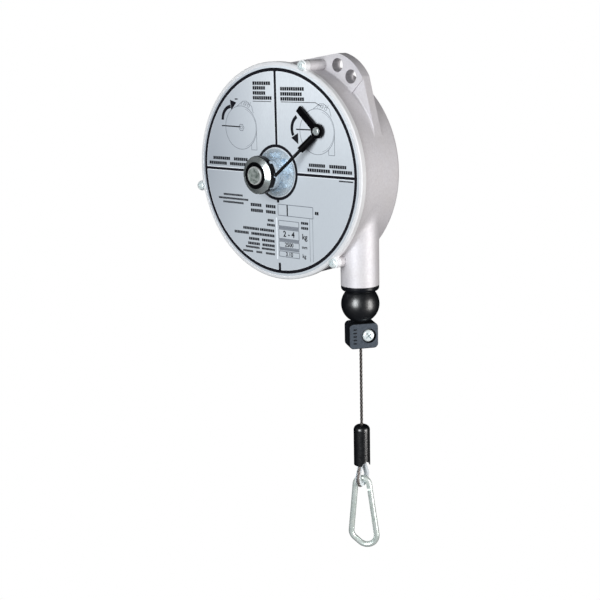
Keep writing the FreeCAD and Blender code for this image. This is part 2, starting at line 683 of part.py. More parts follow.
def pawl_grip():
    start, tip, way = rod_line()
    base = start + way * number("grip_start")
    length = number("grip_length")
    grip = Part.makeCylinder(number("grip_r"), length, base, way)
    set_shape("pawl_grip", grip.cut(Part.makeCylinder(number("rod_r"), length, base, way)), PAWL)


def pawl_pivot_screw():
    body = new_body("pawl_pivot_screw", PAWL)
    sk = sketch(body, "XY")
    outline(sk, [("0", "-(pawl_back + pawl_t + pivot_head_t + 0.1)"),
                 ("pivot_head_r", "-(pawl_back + pawl_t + pivot_head_t + 0.1)"),
                 ("pivot_head_r", "-(pawl_back + pawl_t + 0.1)"), ("pivot_r", "-(pawl_back + pawl_t + 0.1)"),
                 ("pivot_r", "label_t"), ("pivot_thread_r", "label_t"), ("pivot_thread_r", "cover_plate_t"),
                 ("0", "cover_plate_t")])
    spin(body, sk)


def pawl_spring():
    """Two close coils between the lever and the label."""
    first, second = [hexagon_ring("coil_r", "coil_wire_r", ("0", f"-(coil_wire_r + 0.3 + {turn} * 1.5 * coil_wire_r)", "0"))
                     for turn in (0, 1)]
    set_shape("pawl_spring", first.fuse(second), PAWL)


# ---------------------------------------------------------------- what hangs on the rope

def travel_rope():
    turned_upright("travel_rope", ROPE, [
        ("0", "-rope_break_drop"), ("rope_d / 2", "-rope_break_drop"),
        ("rope_d / 2", f"-{ROPE_STOP}"),
        ("0", f"-{ROPE_STOP}")])


def buffer_ball():
    top, low = f"-{ROPE_STOP}", f"-{BALL_LOW}"
    chord = lambda z: f"sqrt(ball_r ^ 2 - ({z} + {BALL}) ^ 2)"
    bore = "rope_d / 2 + rope_clear"
    turned_upright("buffer_ball", ROPE, [
        (bore, top), (chord(top), top, "ball_r", -1), ("ball_r", f"-{BALL}", "ball_r", -1), (chord(low), low), (bore, low)])


def clamp_half(label, side):
    """Half of the rope clamp: side is 1 for the front half and -1 for the rear one."""
    body = new_body(label, ROPE, "clamp_turn")
    low, high = f"-({BALL_LOW} + clamp_tall)", f"-{BALL_LOW}"
    left, right = "clamp_offset - clamp_w / 2", "clamp_offset + clamp_w / 2"
    block = face_sketch(body, "-clamp_split / 2" if side > 0 else "clamp_split / 2")
    c = "clamp_corner"
    outline(block, [(f"{left} + {c}", low), (f"{right} - {c}", low, c, 1), (right, f"{low} + {c}"),
                    (right, f"{high} - {c}", c, 1), (f"{right} - {c}", high), (f"{left} + {c}", high, c, 1),
                    (left, f"{high} - {c}"), (left, f"{low} + {c}", c, 1)])
    extrude(body, block, "(clamp_t - clamp_split) / 2", flip=side < 0)
    face = f"{-side} * clamp_t / 2"
    round_edges(body, "clamp_edge", lambda edge: within(edge, y=(face, face)))
    channel = sketch(body, "XY", high)
    circle(channel, "0", "0", "rope_d / 2 + 0.02")
    extrude(body, channel, "clamp_tall + 1", cut=True)
    middle = f"({low} + {high}) / 2"
    if side > 0:
        recess = face_sketch(body, "-clamp_t / 2")
        circle(recess, "clamp_screw_u", middle, "clamp_recess_r")
        pocket_back(body, recess, "clamp_head_t - 1")
        hole = face_sketch(body, "-clamp_t / 2")
        circle(hole, "clamp_screw_u", middle, "clamp_screw_r + screw_gap")
        pocket_back(body, hole, "clamp_t")
    else:
        hole = face_sketch(body, "clamp_split / 2")
        circle(hole, "clamp_screw_u", middle, "clamp_screw_r")
        pocket_back(body, hole, "clamp_screw_length - clamp_t / 2 + clamp_head_t")


def clamp_screw():
    body = new_body("clamp_screw", ROPE, "clamp_turn")
    middle = f"-({BALL_LOW} + clamp_tall / 2)"
    seat = "(-clamp_t / 2 + clamp_head_t - 1)"
    head = face_sketch(body, seat)
    circle(head, "clamp_screw_u", middle, "clamp_head_r")
    extrude(body, head, "clamp_head_t")
    shank = face_sketch(body, seat)
    circle(shank, "clamp_screw_u", middle, "clamp_screw_r")
    pad_back(body, shank, "clamp_screw_length - 1")


def load_rope():
    turned_upright("load_rope", ROPE, [
        ("0", "-(ferrule_top_drop)"), ("rope_d / 2", "-ferrule_top_drop"),
        ("rope_d / 2", f"-{ROPE_STOP}"),
        ("0", f"-{ROPE_STOP}")])


def rope_sleeve():
    top, low = "-sleeve_top_drop", "-(sleeve_top_drop + sleeve_tall)"
    inner, outer = "sheath_r - sheath_t", "sheath_r"
    body = turned_upright("rope_sleeve", ROPE, [
        ("rope_d / 2 + rope_clear", top), ("sheath_r - sheath_round", top, "sheath_round", -1),
        (outer, f"{top} - sheath_round"), (outer, low), (inner, low), (inner, f"{top} - sheath_round"),
        ("rope_d / 2 + rope_clear", f"{top} - sheath_round")])
    face_towards(body, "sleeve_turn")
    arch = face_sketch(body, "-sheath_r - 1")
    circle(arch, "0", low, "arch_r")
    pocket_back(body, arch, "2 * sheath_r + 2")


def crimp_ferrule():
    top, low = "-ferrule_top_drop", "-(ferrule_top_drop + ferrule_tall)"
    turned_upright("crimp_ferrule", ROPE, [
        ("0", top), ("ferrule_r - 1", top, "1", -1), ("ferrule_r", f"{top} - 1"), ("ferrule_r", low), ("0", low)])


THIMBLE = ("rope_x", "rope_y", "-thimble_drop")


def teardrop(sk, offset):
    """The thimble's outline at a distance outside its eye: a round foot and two flanks that meet at the top."""
    r = f"(thimble_eye_r + {offset})"
    cos, sin = "cos(thimble_half_angle)", "sin(thimble_half_angle)"
    outline(sk, [("0", f"-{r}", r, 1), (f"{r} * {cos}", f"{r} * {sin}"), ("0", f"{r} / {sin}"),
                 (f"-{r} * {cos}", f"{r} * {sin}", r, 1)])


def thimble():
    body = new_body("thimble", THIMBLE, "thimble_turn")
    base = sketch(body, "XZ")
    teardrop(base, "0")
    teardrop(base, "thimble_base_t")
    extrude(body, base, "thimble_w", both=True)
    for front in ("-thimble_w / 2", "thimble_w / 2 - thimble_cheek"):
        cheek = face_sketch(body, front)
        teardrop(cheek, "0")
        teardrop(cheek, "thimble_deep")
        pad_back(body, cheek, "thimble_cheek")


def rope_eye():
    """The rope's own loop, round the thimble and up into the ferrule."""
    body = new_body("rope_eye", THIMBLE, "thimble_turn")
    path = sketch(body, "XZ")
    loop = "(thimble_eye_r + thimble_base_t + rope_d / 2 + rope_clear)"
    rise = "(thimble_drop - ferrule_top_drop - ferrule_tall - 0.3)"
    side = "(rope_d / 2 + rope_clear)"
    lean = f"(asin({loop} / sqrt({rise} ^ 2 + {side} ^ 2)) - atan({side} / {rise}))"
    outline(path, [(side, rise), (f"{loop} * cos({lean})", f"{loop} * sin({lean})", loop, -1), ("0", f"-{loop}", loop, -1),
                   (f"-{loop} * cos({lean})", f"{loop} * sin({lean})"), (f"-{side}", rise)], closed=False)
    sweep(body, path, "rope_d / 2")


# ---------------------------------------------------------------- snap hook

HOOK = ("rope_x", "rope_y", "-hook_drop")


FLANK = "(atan(bend_x / bend_drop) + asin((bend_r - bow_r) / sqrt(bend_x ^ 2 + bend_drop ^ 2)))"
SPINE = "(180 deg - atan(corner_x / corner_drop) + asin((bow_r - corner_r) / sqrt(corner_x ^ 2 + corner_drop ^ 2)))"
FOOT = ("(-90 deg - atan((bend_drop - corner_drop) / (bend_x + corner_x))"
        " + asin((corner_r - bend_r) / sqrt((bend_x + corner_x) ^ 2 + (bend_drop - corner_drop) ^ 2)))")
FLANK_LENGTH = "sqrt(bend_x ^ 2 + bend_drop ^ 2 - (bend_r - bow_r) ^ 2)"


def off(x, z, radius, angle):
    """A point on a circle about (x, z)."""
    return f"{x} + {radius} * cos({angle})", f"{z} + {radius} * sin({angle})"


def beside_gate(along, out="0"):
    """A point on the hook's gate side: along the flank from the bow, and outwards from the wire's middle."""
    return (f"(bow_r + ({out})) * cos({FLANK}) + ({along}) * sin({FLANK})",
            f"(bow_r + ({out})) * sin({FLANK}) - ({along}) * cos({FLANK})")


def flank_box(sk, start, end, inner, outer):
    outline(sk, [beside_gate(start, inner), beside_gate(end, inner), beside_gate(end, outer), beside_gate(start, outer)])


def snap_hook_body():
    """Bent wire: from the gate's pin over the bow, down the spine, round the foot and up to the nose."""
    body = new_body("snap_hook_body", HOOK, "hook_turn")
    path = sketch(body, "XZ")
    bend = ("bend_x", "-bend_drop")
    corner = ("-corner_x", "-corner_drop")
    nose = f"{FLANK_LENGTH} - nose_up"
    outline(path, [beside_gate("hinge_down - pin_reach"), (*off("0", "0", "bow_r", FLANK), "bow_r", 1),
                   ("0", "bow_r", "bow_r", 1), off("0", "0", "bow_r", SPINE), (*off(*corner, "corner_r", SPINE), "corner_r", 1),
                   off(*corner, "corner_r", FOOT), (*off(*bend, "bend_r", FOOT), "bend_r", 1),
                   off(*bend, "bend_r", FLANK), beside_gate(f"{nose} + gate_gap")], closed=False)
    sweep(body, path, "wire_r")
    tang = sketch(body, "XZ")
    flank_box(tang, "hinge_down - pin_reach - 0.5", "hinge_down", "-tang_w / 2", "tang_w / 2")
    extrude(body, tang, "tang_t", both=True)
    eye = sketch(body, "XZ")
    circle(eye, *beside_gate("hinge_down"), "tang_w / 2")
    extrude(body, eye, "tang_t", both=True)
    catch = sketch(body, "XZ")
    flank_box(catch, f"{nose} + gate_gap + 0.5", f"{nose} - catch_tall", "catch_inner", "wire_r - 0.4")
    extrude(body, catch, "tang_t", both=True)
    hole = sketch(body, "XZ")
    circle(hole, *beside_gate("hinge_down"), "gate_pin_r + gate_pin_gap")
    extrude(body, hole, "2 * wire_r", cut=True, both=True)


def snap_hook_gate():
    body = new_body("snap_hook_gate", HOOK, "hook_turn")
    path = sketch(body, "XZ")
    nose = f"{FLANK_LENGTH} - nose_up"
    outline(path, [beside_gate("hinge_down - eye_reach"), beside_gate(nose)], closed=False)
    sweep(body, path, "gate_r")
    slot = sketch(body, "XZ")
    circle(slot, *beside_gate("hinge_down"), "tang_w / 2 + gate_gap")
    extrude(body, slot, "tang_t + 2 * tang_gap", cut=True, both=True)
    for start, end in (("hinge_down - eye_reach - 1", "hinge_down"), (f"{nose} - catch_tall - 1", f"{nose} + 1")):
        fork = sketch(body, "XZ")
        flank_box(fork, start, end, "-gate_r - 1", "gate_r + 1")
        extrude(body, fork, "tang_t + 2 * tang_gap", cut=True, both=True)
    hole = sketch(body, "XZ")
    circle(hole, *beside_gate("hinge_down"), "gate_pin_r")
    extrude(body, hole, "2 * gate_r", cut=True, both=True)
    keeper = sketch(body, "XZ")
    circle(keeper, *beside_gate(f"{nose} - catch_tall / 2", "catch_inner - keeper_r - gate_gap"), "keeper_r")
    extrude(body, keeper, "gate_r", both=True)


def gate_pin():
    body = new_body("gate_pin", HOOK, "hook_turn")
    sk = sketch(body, "XZ")
    circle(sk, *beside_gate("hinge_down"), "gate_pin_r")
    extrude(body, sk, "2 * gate_r", both=True)


def main():
    rear_housing()
    front_cover()
    label_plate()
    cover_screws()
    rope_guide()
    arbor()
    bushes()
    rope_drum()
    spring_cover()
    spring_cover_screws()
    spring_collar()
    power_spring()
    wound_rope()
    housed_rope()
    ratchet_hub()
    index_disc()
    lock_ring()
    ring_insert()
    hub_bolt()
    lever = pawl_lever()
    DOC.recompute()
    pawl_rod(lever)
    pawl_grip()
    pawl_pivot_screw()
    pawl_spring()
    travel_rope()
    buffer_ball()
    clamp_half("clamp_front", 1)
    clamp_half("clamp_rear", -1)
    clamp_screw()
    load_rope()
    rope_sleeve()
    crimp_ferrule()
    thimble()
    rope_eye()
    snap_hook_body()
    snap_hook_gate()
    gate_pin()
    DOC.recompute()
    write_parts()


def write_parts():
    """Check every object, then write one STEP file for each sub-part."""
    for item in DOC.Objects:
        if "Invalid" in item.State or "Error" in item.State:
            raise RuntimeError(f"{item.Name}: {item.State}")
    os.makedirs("parts", exist_ok=True)
    for node in NODES:
        shape = node.Shape
        if shape.isNull() or not shape.isValid():
            raise RuntimeError(f"{node.Label} has no valid shape")
        shape.exportStep(f"parts/{node.Label}.step")
        box = shape.BoundBox
        print(f"{node.Label:22s} solids {len(shape.Solids)} volume {shape.Volume:10.1f}"
              f"  z {box.ZMin:8.2f} {box.ZMax:8.2f}")


main()
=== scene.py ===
"""Looks for the spring tool balancer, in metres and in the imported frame.

The CAD nodes keep their places and get their finishes here. Screws, the rope guide, rope strands, the
spout's fillet, the clamp's ribs and the print are pieces of their own that ride on the same bodies."""

import json
import math

import bmesh
import bpy
from mathutils import Matrix, Vector
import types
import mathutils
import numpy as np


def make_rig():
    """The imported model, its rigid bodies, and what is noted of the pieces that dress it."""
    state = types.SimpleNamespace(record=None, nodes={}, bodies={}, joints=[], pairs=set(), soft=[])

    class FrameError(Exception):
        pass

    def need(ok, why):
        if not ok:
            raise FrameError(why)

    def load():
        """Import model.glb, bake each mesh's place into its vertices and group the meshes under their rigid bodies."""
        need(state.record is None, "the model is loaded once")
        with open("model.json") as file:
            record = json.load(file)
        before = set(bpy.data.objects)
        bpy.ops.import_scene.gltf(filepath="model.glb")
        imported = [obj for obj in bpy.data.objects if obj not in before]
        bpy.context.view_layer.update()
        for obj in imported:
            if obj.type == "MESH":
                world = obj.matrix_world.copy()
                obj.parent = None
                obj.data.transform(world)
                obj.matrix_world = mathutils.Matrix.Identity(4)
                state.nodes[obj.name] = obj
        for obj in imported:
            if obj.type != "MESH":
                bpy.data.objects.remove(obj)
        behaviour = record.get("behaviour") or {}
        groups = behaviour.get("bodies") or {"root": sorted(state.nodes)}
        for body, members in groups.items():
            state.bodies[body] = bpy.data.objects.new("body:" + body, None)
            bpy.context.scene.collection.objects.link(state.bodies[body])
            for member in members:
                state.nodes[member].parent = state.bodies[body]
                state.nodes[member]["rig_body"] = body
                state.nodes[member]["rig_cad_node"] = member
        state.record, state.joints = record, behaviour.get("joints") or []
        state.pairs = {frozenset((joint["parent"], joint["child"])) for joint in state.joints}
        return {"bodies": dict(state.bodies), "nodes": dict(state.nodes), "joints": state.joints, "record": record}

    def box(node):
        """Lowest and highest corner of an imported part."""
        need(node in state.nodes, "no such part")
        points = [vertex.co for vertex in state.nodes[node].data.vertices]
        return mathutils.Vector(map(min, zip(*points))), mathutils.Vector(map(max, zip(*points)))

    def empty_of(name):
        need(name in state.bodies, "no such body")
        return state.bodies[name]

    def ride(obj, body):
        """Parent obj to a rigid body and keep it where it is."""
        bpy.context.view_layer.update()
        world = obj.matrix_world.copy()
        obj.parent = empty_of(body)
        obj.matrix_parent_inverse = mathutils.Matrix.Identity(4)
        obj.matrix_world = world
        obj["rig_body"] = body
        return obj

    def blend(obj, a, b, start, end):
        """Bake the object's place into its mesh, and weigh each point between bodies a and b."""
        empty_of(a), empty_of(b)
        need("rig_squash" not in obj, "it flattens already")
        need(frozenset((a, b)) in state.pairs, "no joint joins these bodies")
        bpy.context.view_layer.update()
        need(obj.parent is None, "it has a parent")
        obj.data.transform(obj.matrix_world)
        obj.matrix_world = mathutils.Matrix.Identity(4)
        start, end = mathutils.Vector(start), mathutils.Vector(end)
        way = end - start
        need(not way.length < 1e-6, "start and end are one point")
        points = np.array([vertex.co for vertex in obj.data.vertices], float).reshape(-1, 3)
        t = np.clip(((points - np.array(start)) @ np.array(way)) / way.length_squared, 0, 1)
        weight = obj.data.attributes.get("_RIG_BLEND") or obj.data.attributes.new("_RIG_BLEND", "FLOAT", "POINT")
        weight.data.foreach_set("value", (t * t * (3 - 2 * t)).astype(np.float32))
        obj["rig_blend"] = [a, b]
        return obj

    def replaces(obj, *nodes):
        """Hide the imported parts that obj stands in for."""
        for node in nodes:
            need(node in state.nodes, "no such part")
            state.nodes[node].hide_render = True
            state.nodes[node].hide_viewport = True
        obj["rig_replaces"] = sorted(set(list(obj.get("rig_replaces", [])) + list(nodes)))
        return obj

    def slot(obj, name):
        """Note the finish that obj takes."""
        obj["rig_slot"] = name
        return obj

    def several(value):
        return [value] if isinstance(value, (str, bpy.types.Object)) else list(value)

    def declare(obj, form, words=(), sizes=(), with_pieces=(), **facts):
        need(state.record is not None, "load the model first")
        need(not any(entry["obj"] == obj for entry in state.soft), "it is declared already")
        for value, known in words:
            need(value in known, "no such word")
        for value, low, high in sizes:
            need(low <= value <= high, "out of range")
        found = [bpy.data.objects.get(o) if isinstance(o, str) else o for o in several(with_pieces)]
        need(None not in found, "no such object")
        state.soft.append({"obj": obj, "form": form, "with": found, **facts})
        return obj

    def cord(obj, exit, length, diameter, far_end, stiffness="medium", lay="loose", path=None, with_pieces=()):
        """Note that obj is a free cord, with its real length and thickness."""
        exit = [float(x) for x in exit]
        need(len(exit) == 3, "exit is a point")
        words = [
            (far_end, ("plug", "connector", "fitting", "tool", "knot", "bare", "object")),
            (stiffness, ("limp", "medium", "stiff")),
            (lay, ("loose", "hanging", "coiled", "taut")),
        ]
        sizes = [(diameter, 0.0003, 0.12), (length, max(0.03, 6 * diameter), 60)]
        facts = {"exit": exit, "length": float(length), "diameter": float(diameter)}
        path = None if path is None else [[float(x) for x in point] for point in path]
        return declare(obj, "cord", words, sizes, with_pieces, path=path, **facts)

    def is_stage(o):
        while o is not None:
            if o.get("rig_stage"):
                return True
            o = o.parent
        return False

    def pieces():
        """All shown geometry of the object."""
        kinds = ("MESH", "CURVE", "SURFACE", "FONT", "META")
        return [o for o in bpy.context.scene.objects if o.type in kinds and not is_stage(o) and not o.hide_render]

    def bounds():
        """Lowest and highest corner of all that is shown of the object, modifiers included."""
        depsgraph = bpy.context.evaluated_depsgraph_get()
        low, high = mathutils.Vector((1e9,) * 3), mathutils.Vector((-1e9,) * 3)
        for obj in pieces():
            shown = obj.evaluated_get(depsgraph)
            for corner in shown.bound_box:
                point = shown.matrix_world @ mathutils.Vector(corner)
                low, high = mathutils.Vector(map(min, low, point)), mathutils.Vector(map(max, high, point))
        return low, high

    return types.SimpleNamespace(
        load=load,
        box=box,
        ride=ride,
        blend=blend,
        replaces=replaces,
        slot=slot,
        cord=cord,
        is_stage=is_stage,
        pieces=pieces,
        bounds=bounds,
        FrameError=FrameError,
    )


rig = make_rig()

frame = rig.load()
cad_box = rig.bounds()
nodes = frame["nodes"]

MM = 0.001


def middle(node):
    low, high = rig.box(node)
    return (low + high) / 2


def half_width(node):
    """Half of a node's size along X: the radius of a turned piece."""
    low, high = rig.box(node)
    return (high.x - low.x) / 2


# ---------------------------------------------------------------- places, read from the frame

LABEL = middle("label_plate")
LABEL_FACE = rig.box("label_plate")[0].y
LABEL_R = half_width("label_plate")
ROPE = middle("load_rope")
ROPE_R = half_width("load_rope")
ROPE_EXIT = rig.box("load_rope")[1].z
FERRULE_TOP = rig.box("crimp_ferrule")[1].z
PIVOT = middle("pawl_pivot_screw")
BOSS_REACH = 7.4 * MM       # how far the screw boss at the left stands out past the round housing
HOUSING_R = LABEL.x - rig.box("rear_housing")[0].x - BOSS_REACH


# ---------------------------------------------------------------- finishes

class Finish:
    """A Principled material whose colour, roughness and relief are worked out by nodes."""

    def __init__(self, name, colour, rough, metal=0.0):
        self.material = bpy.data.materials.new(name)
        self.material.use_nodes = True
        self.tree = self.material.node_tree
        self.shader = self.tree.nodes["Principled BSDF"]
        self.shader.inputs["Base Color"].default_value = (*colour, 1)
        self.shader.inputs["Roughness"].default_value = rough
        self.shader.inputs["Metallic"].default_value = metal
        self.place = self.add("ShaderNodeTexCoord").outputs["Object"]
        self.relief = None

    def add(self, kind, links=(), **settings):
        node = self.tree.nodes.new(kind)
        for key, value in settings.items():
            setattr(node, key, value)
        for socket, source in links:
            self.feed(node.inputs[socket], source)
        return node

    def feed(self, socket, source):
        if isinstance(source, bpy.types.NodeSocket):
            self.tree.links.new(source, socket)
        else:
            socket.default_value = source

    def noise(self, scale, detail, stretch=(1, 1, 1)):
        spread = self.add("ShaderNodeMapping", [("Vector", self.place), ("Scale", stretch)])
        links = [("Vector", spread.outputs["Vector"]), ("Scale", scale), ("Detail", detail)]
        return self.add("ShaderNodeTexNoise", links).outputs["Fac"]

    def cells(self, scale):
        links = [("Vector", self.place), ("Scale", scale)]
        return self.add("ShaderNodeTexVoronoi", links).outputs["Distance"]

    def span(self, source, low, high, start=0.3, end=0.7):
        """The source's values from start to end, stretched to run from low to high."""
        limits = [("From Min", start), ("From Max", end), ("To Min", low), ("To Max", high)]
        return self.add("ShaderNodeMapRange", [("Value", source), *limits]).outputs["Result"]

    def math(self, operation, a, b=0.0):
        return self.add("ShaderNodeMath", [(0, a), (1, b)], operation=operation).outputs[0]

    def along(self, direction, origin):
        """Distance from a point, measured along a direction."""
        shift = self.add("ShaderNodeVectorMath", [(0, self.place), (1, origin)], operation="SUBTRACT")
        return self.dot(shift.outputs[0], direction)

    def dot(self, source, direction):
        links = [(0, source), (1, direction)]
        return self.add("ShaderNodeVectorMath", links, operation="DOT_PRODUCT").outputs["Value"]

    def from_rope(self):
        """Distances from the rope's middle line along X and Y, and the height."""
        parts = self.add("ShaderNodeSeparateXYZ", [("Vector", self.place)]).outputs
        east = self.math("SUBTRACT", parts["X"], ROPE.x)
        north = self.math("SUBTRACT", parts["Y"], ROPE.y)
        return east, north, parts["Z"]

    def tint(self, share, other):
        """Mix another colour into the base colour by a share from 0 to 1."""
        socket = self.shader.inputs["Base Color"]
        here = socket.links[0].from_socket if socket.links else tuple(socket.default_value)
        mix = self.add("ShaderNodeMix", data_type="RGBA")
        self.feed(mix.inputs["Factor"], share)
        self.feed(mix.inputs[6], here)
        self.feed(mix.inputs[7], (*other, 1))
        self.tree.links.new(mix.outputs[2], socket)

    def roughen(self, source):
        self.feed(self.shader.inputs["Roughness"], source)

    def bump(self, height, distance, strength):
        links = [("Height", height), ("Distance", distance), ("Strength", strength)]
        if self.relief:
            links.append(("Normal", self.relief))
        self.relief = self.add("ShaderNodeBump", links).outputs["Normal"]
        self.feed(self.shader.inputs["Normal"], self.relief)

    def painted_edge_highlight(self, other):
        """A painted highlight: a lighter colour where the surface is most convex."""
        point = self.add("ShaderNodeNewGeometry").outputs["Pointiness"]
        self.tint(self.span(point, 0.0, 1.0, 0.52, 0.6), other)


def casting():
    """Die-cast aluminium with a warm grey, slightly grainy skin."""
    made = Finish("cast_aluminium", (0.56, 0.543, 0.553), 0.54, metal=0.26)
    made.tint(made.span(made.noise(38, 4), 0.0, 0.45), (0.60, 0.595, 0.64))
    made.tint(made.span(made.noise(520, 3), 0.0, 0.4), (0.42, 0.395, 0.41))
    made.roughen(made.span(made.noise(420, 3), 0.48, 0.62))
    made.bump(made.noise(1300, 2), 0.12 * MM, 0.5)
    made.bump(made.noise(160, 3), 0.22 * MM, 0.35)
    return made.material


def machined_rim():
    """The cover: the same metal, turned smooth and nearly white."""
    made = Finish("turned_aluminium", (0.84, 0.84, 0.85), 0.34, metal=0.3)
    made.tint(made.span(made.noise(60, 3), 0.0, 0.3), (0.66, 0.66, 0.68))
    made.roughen(made.span(made.noise(500, 2), 0.28, 0.42))
    made.bump(made.noise(1500, 2), 0.06 * MM, 0.4)
    return made.material


def label_metal():
    """Satin anodised plate, a cool grey, with painted light making it lighter towards the top and painted shade making
    it darker towards the left edge.
    """
    made = Finish("label_metal", (0.55, 0.59, 0.63), 0.36, metal=0.2)
    centre = (LABEL.x, 0, LABEL.z)
    height = made.along((0.1, 0, 1), centre)
    left = made.along((-0.95, 0, 0.3), centre)
    # painted light: the plate is tinted lighter towards the top
    made.tint(made.span(height, 0.0, 0.85, 0.0, 90 * MM), (0.80, 0.84, 0.88))
    # painted shade: the plate is tinted darker towards the left edge
    made.tint(made.span(left, 0.0, 0.55, 30 * MM, 90 * MM), (0.30, 0.33, 0.38))
    made.tint(made.span(made.noise(1400, 2, (1, 1, 0.25)), 0.0, 0.22), (0.46, 0.49, 0.53))
    made.roughen(made.span(made.noise(700, 2), 0.30, 0.42))
    made.bump(made.noise(2600, 1), 0.03 * MM, 0.5)
    return made.material


def ink(name, colour, rough=0.45):
    """Screen-printed ink: a little uneven in density and gloss."""
    made = Finish(name, colour, rough)
    made.shader.inputs["Specular IOR Level"].default_value = 0.15
    lighter = tuple(min(1.0, channel * 1.25 + 0.006) for channel in colour)
    made.tint(made.span(made.noise(1600, 2), 0.0, 0.5), lighter)
    made.roughen(made.span(made.noise(900, 2), rough - 0.08, rough + 0.1))
    return made.material


def zinc(name, colour, rough, tone, metal):
    """Bright zinc plate, with the faint blue and yellow clouds of its passivation."""
    made = Finish(name, colour, rough, metal=metal)
    made.tint(made.span(made.noise(130, 3), 0.0, 0.7), tone)
    made.tint(made.span(made.noise(240, 3), 0.0, 0.25, 0.5, 0.75), (0.80, 0.78, 0.66))
    made.roughen(made.span(made.noise(300, 2), rough - 0.05, rough + 0.08))
    made.bump(made.noise(500, 2), 0.03 * MM, 0.4)
    return made.material


def forged_bolt():
    """The hub bolt: a plated head whose face is mottled by the forging."""
    made = Finish("forged_bolt", (0.46, 0.50, 0.48), 0.36, metal=0.7)
    made.tint(made.span(made.noise(260, 3), 0.0, 0.9, 0.42, 0.58), (0.10, 0.14, 0.12))
    made.tint(made.span(made.cells(420), 0.0, 0.5, 0.2, 0.7), (0.60, 0.66, 0.62))
    made.roughen(made.span(made.noise(800, 3), 0.28, 0.5))
    made.bump(made.noise(900, 3), 0.12 * MM, 0.5)
    # painted highlight: the head's convex edges are tinted lighter
    made.painted_edge_highlight((0.86, 0.88, 0.86))
    return made.material


def gloss_black(name, rough, grain=0.0, colour=(0.003, 0.0035, 0.005), shine=0.25):
    """Black rubber, plastic or paint, with a grain of a given depth in millimetres."""
    made = Finish(name, colour, rough)
    made.shader.inputs["Specular IOR Level"].default_value = shine
    lighter = tuple(channel * 1.8 + 0.0005 for channel in colour)
    made.tint(made.span(made.noise(220, 3), 0.0, 0.4), lighter)
    made.roughen(made.span(made.noise(500, 3), max(rough - 0.04, 0.04), rough + 0.07))
    if grain:
        made.bump(made.noise(1500, 3), grain * MM, 0.6)
    return made.material


def clamp_metal(face):
    """Cast zinc with painted light and shade: nearly black on its sides as painted shade, and a blue grey with lighter
    mottling on the face that looks along a direction, as painted light.
    """
    # painted shade: the nearly black base colour stands for shade on all but the lit face
    made = Finish("cast_zinc", (0.006, 0.0075, 0.010), 0.45, metal=0.3)
    skin = made.add("ShaderNodeTexCoord").outputs["Normal"]
    # painted light: the face that looks along the direction is tinted blue grey, and mottled lighter below
    painted_lit_face = made.span(made.dot(skin, face), 0.0, 1.0, 0.75, 0.97)
    made.tint(painted_lit_face, (0.048, 0.062, 0.082))
    made.tint(made.math("MULTIPLY", made.span(made.noise(320, 4), 0.0, 0.5), painted_lit_face), (0.085, 0.105, 0.13))
    made.tint(made.span(made.noise(1500, 2), 0.0, 0.45), (0.004, 0.005, 0.007))
    made.roughen(made.span(made.noise(700, 3), 0.38, 0.55))
    made.bump(made.noise(1100, 3), 0.1 * MM, 0.5)
    return made.material


def rope_wire():
    """Drawn steel wire, dull and a little oiled, with painted shade that makes it black in the valleys between the
    strands.
    """
    made = Finish("rope_wire", (0.20, 0.175, 0.16), 0.4, metal=0.5)
    made.tint(made.span(made.noise(700, 3), 0.0, 0.6), (0.07, 0.06, 0.055))
    made.tint(made.span(made.noise(1500, 2, (1, 1, 3)), 0.0, 0.3), (0.40, 0.36, 0.34))
    # painted shade: black close to the rope's middle line, in the valleys between the strands
    east, north, _ = made.from_rope()
    squares = [made.math("MULTIPLY", side, side) for side in (east, north)]
    out = made.math("SQRT", made.math("ADD", *squares))
    made.tint(made.span(out, 1.0, 0.0, ROPE_R * 0.86, ROPE_R * 0.995), (0.002, 0.002, 0.002))
    made.bump(made.noise(3200, 2, (1, 1, 0.3)), 0.05 * MM, 0.7)
    return made.material


def twisted_rope():
    """Rope whose strands are relief only, with painted shade darkening the grooves between them, so that it keeps its
    lay at any length paid out.
    """
    made = Finish("twisted_rope", (0.30, 0.265, 0.235), 0.38, metal=0.8)
    east, north, height = made.from_rope()
    turn = made.math("MULTIPLY", made.math("ARCTAN2", north, east), STRANDS)
    rise = made.math("MULTIPLY", height, STRANDS * 2 * math.pi / ROPE_LAY)
    strand = made.math("SINE", made.math("ADD", turn, rise))
    # painted shade: the grooves between the strands are tinted dark
    made.tint(made.span(strand, 0.85, 0.0, -1.0, 0.2), (0.03, 0.026, 0.024))
    made.bump(strand, 0.3 * MM, 0.8)
    return made.material


def plain_steel(name, colour, rough):
    """Bare or blued metal, mostly for the pieces inside."""
    made = Finish(name, colour, rough, metal=0.85)
    made.tint(made.span(made.noise(200, 3), 0.0, 0.4), tuple(channel * 0.7 for channel in colour))
    made.roughen(made.span(made.noise(500, 3), rough - 0.08, rough + 0.1))
    made.bump(made.noise(1200, 2), 0.05 * MM, 0.4)
    return made.material


# ---------------------------------------------------------------- mesh helpers

def smooth(mesh, sharp=35):
    """Smooth shading, with edges that stay sharp from an angle in degrees."""
    for face in mesh.polygons:
        face.use_smooth = True
    mesh.set_sharp_from_angle(angle=math.radians(sharp))


def add_piece(name, mesh, body, material, slot=None, replaces=(), sharp=35):
    """A mesh as a piece of the object that rides on a body."""
    smooth(mesh, sharp)
    item = bpy.data.objects.new(name, mesh)
    bpy.context.scene.collection.objects.link(item)
    mesh.materials.append(material)
    if body:
        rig.ride(item, body)
    if slot:
        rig.slot(item, slot)
    if replaces:
        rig.replaces(item, *replaces)
    return item


def finished(build, name):
    """The built faces as a new mesh, all turned outwards."""
    mesh = bpy.data.meshes.new(name)
    bmesh.ops.recalc_face_normals(build, faces=build.faces)
    build.to_mesh(mesh)
    build.free()
    return mesh


def towards(direction, at):
    """A frame at a point, with its Z axis along a direction."""
    turn = Vector(direction).to_track_quat("Z", "Y")
    return Matrix.Translation(at) @ turn.to_matrix().to_4x4()


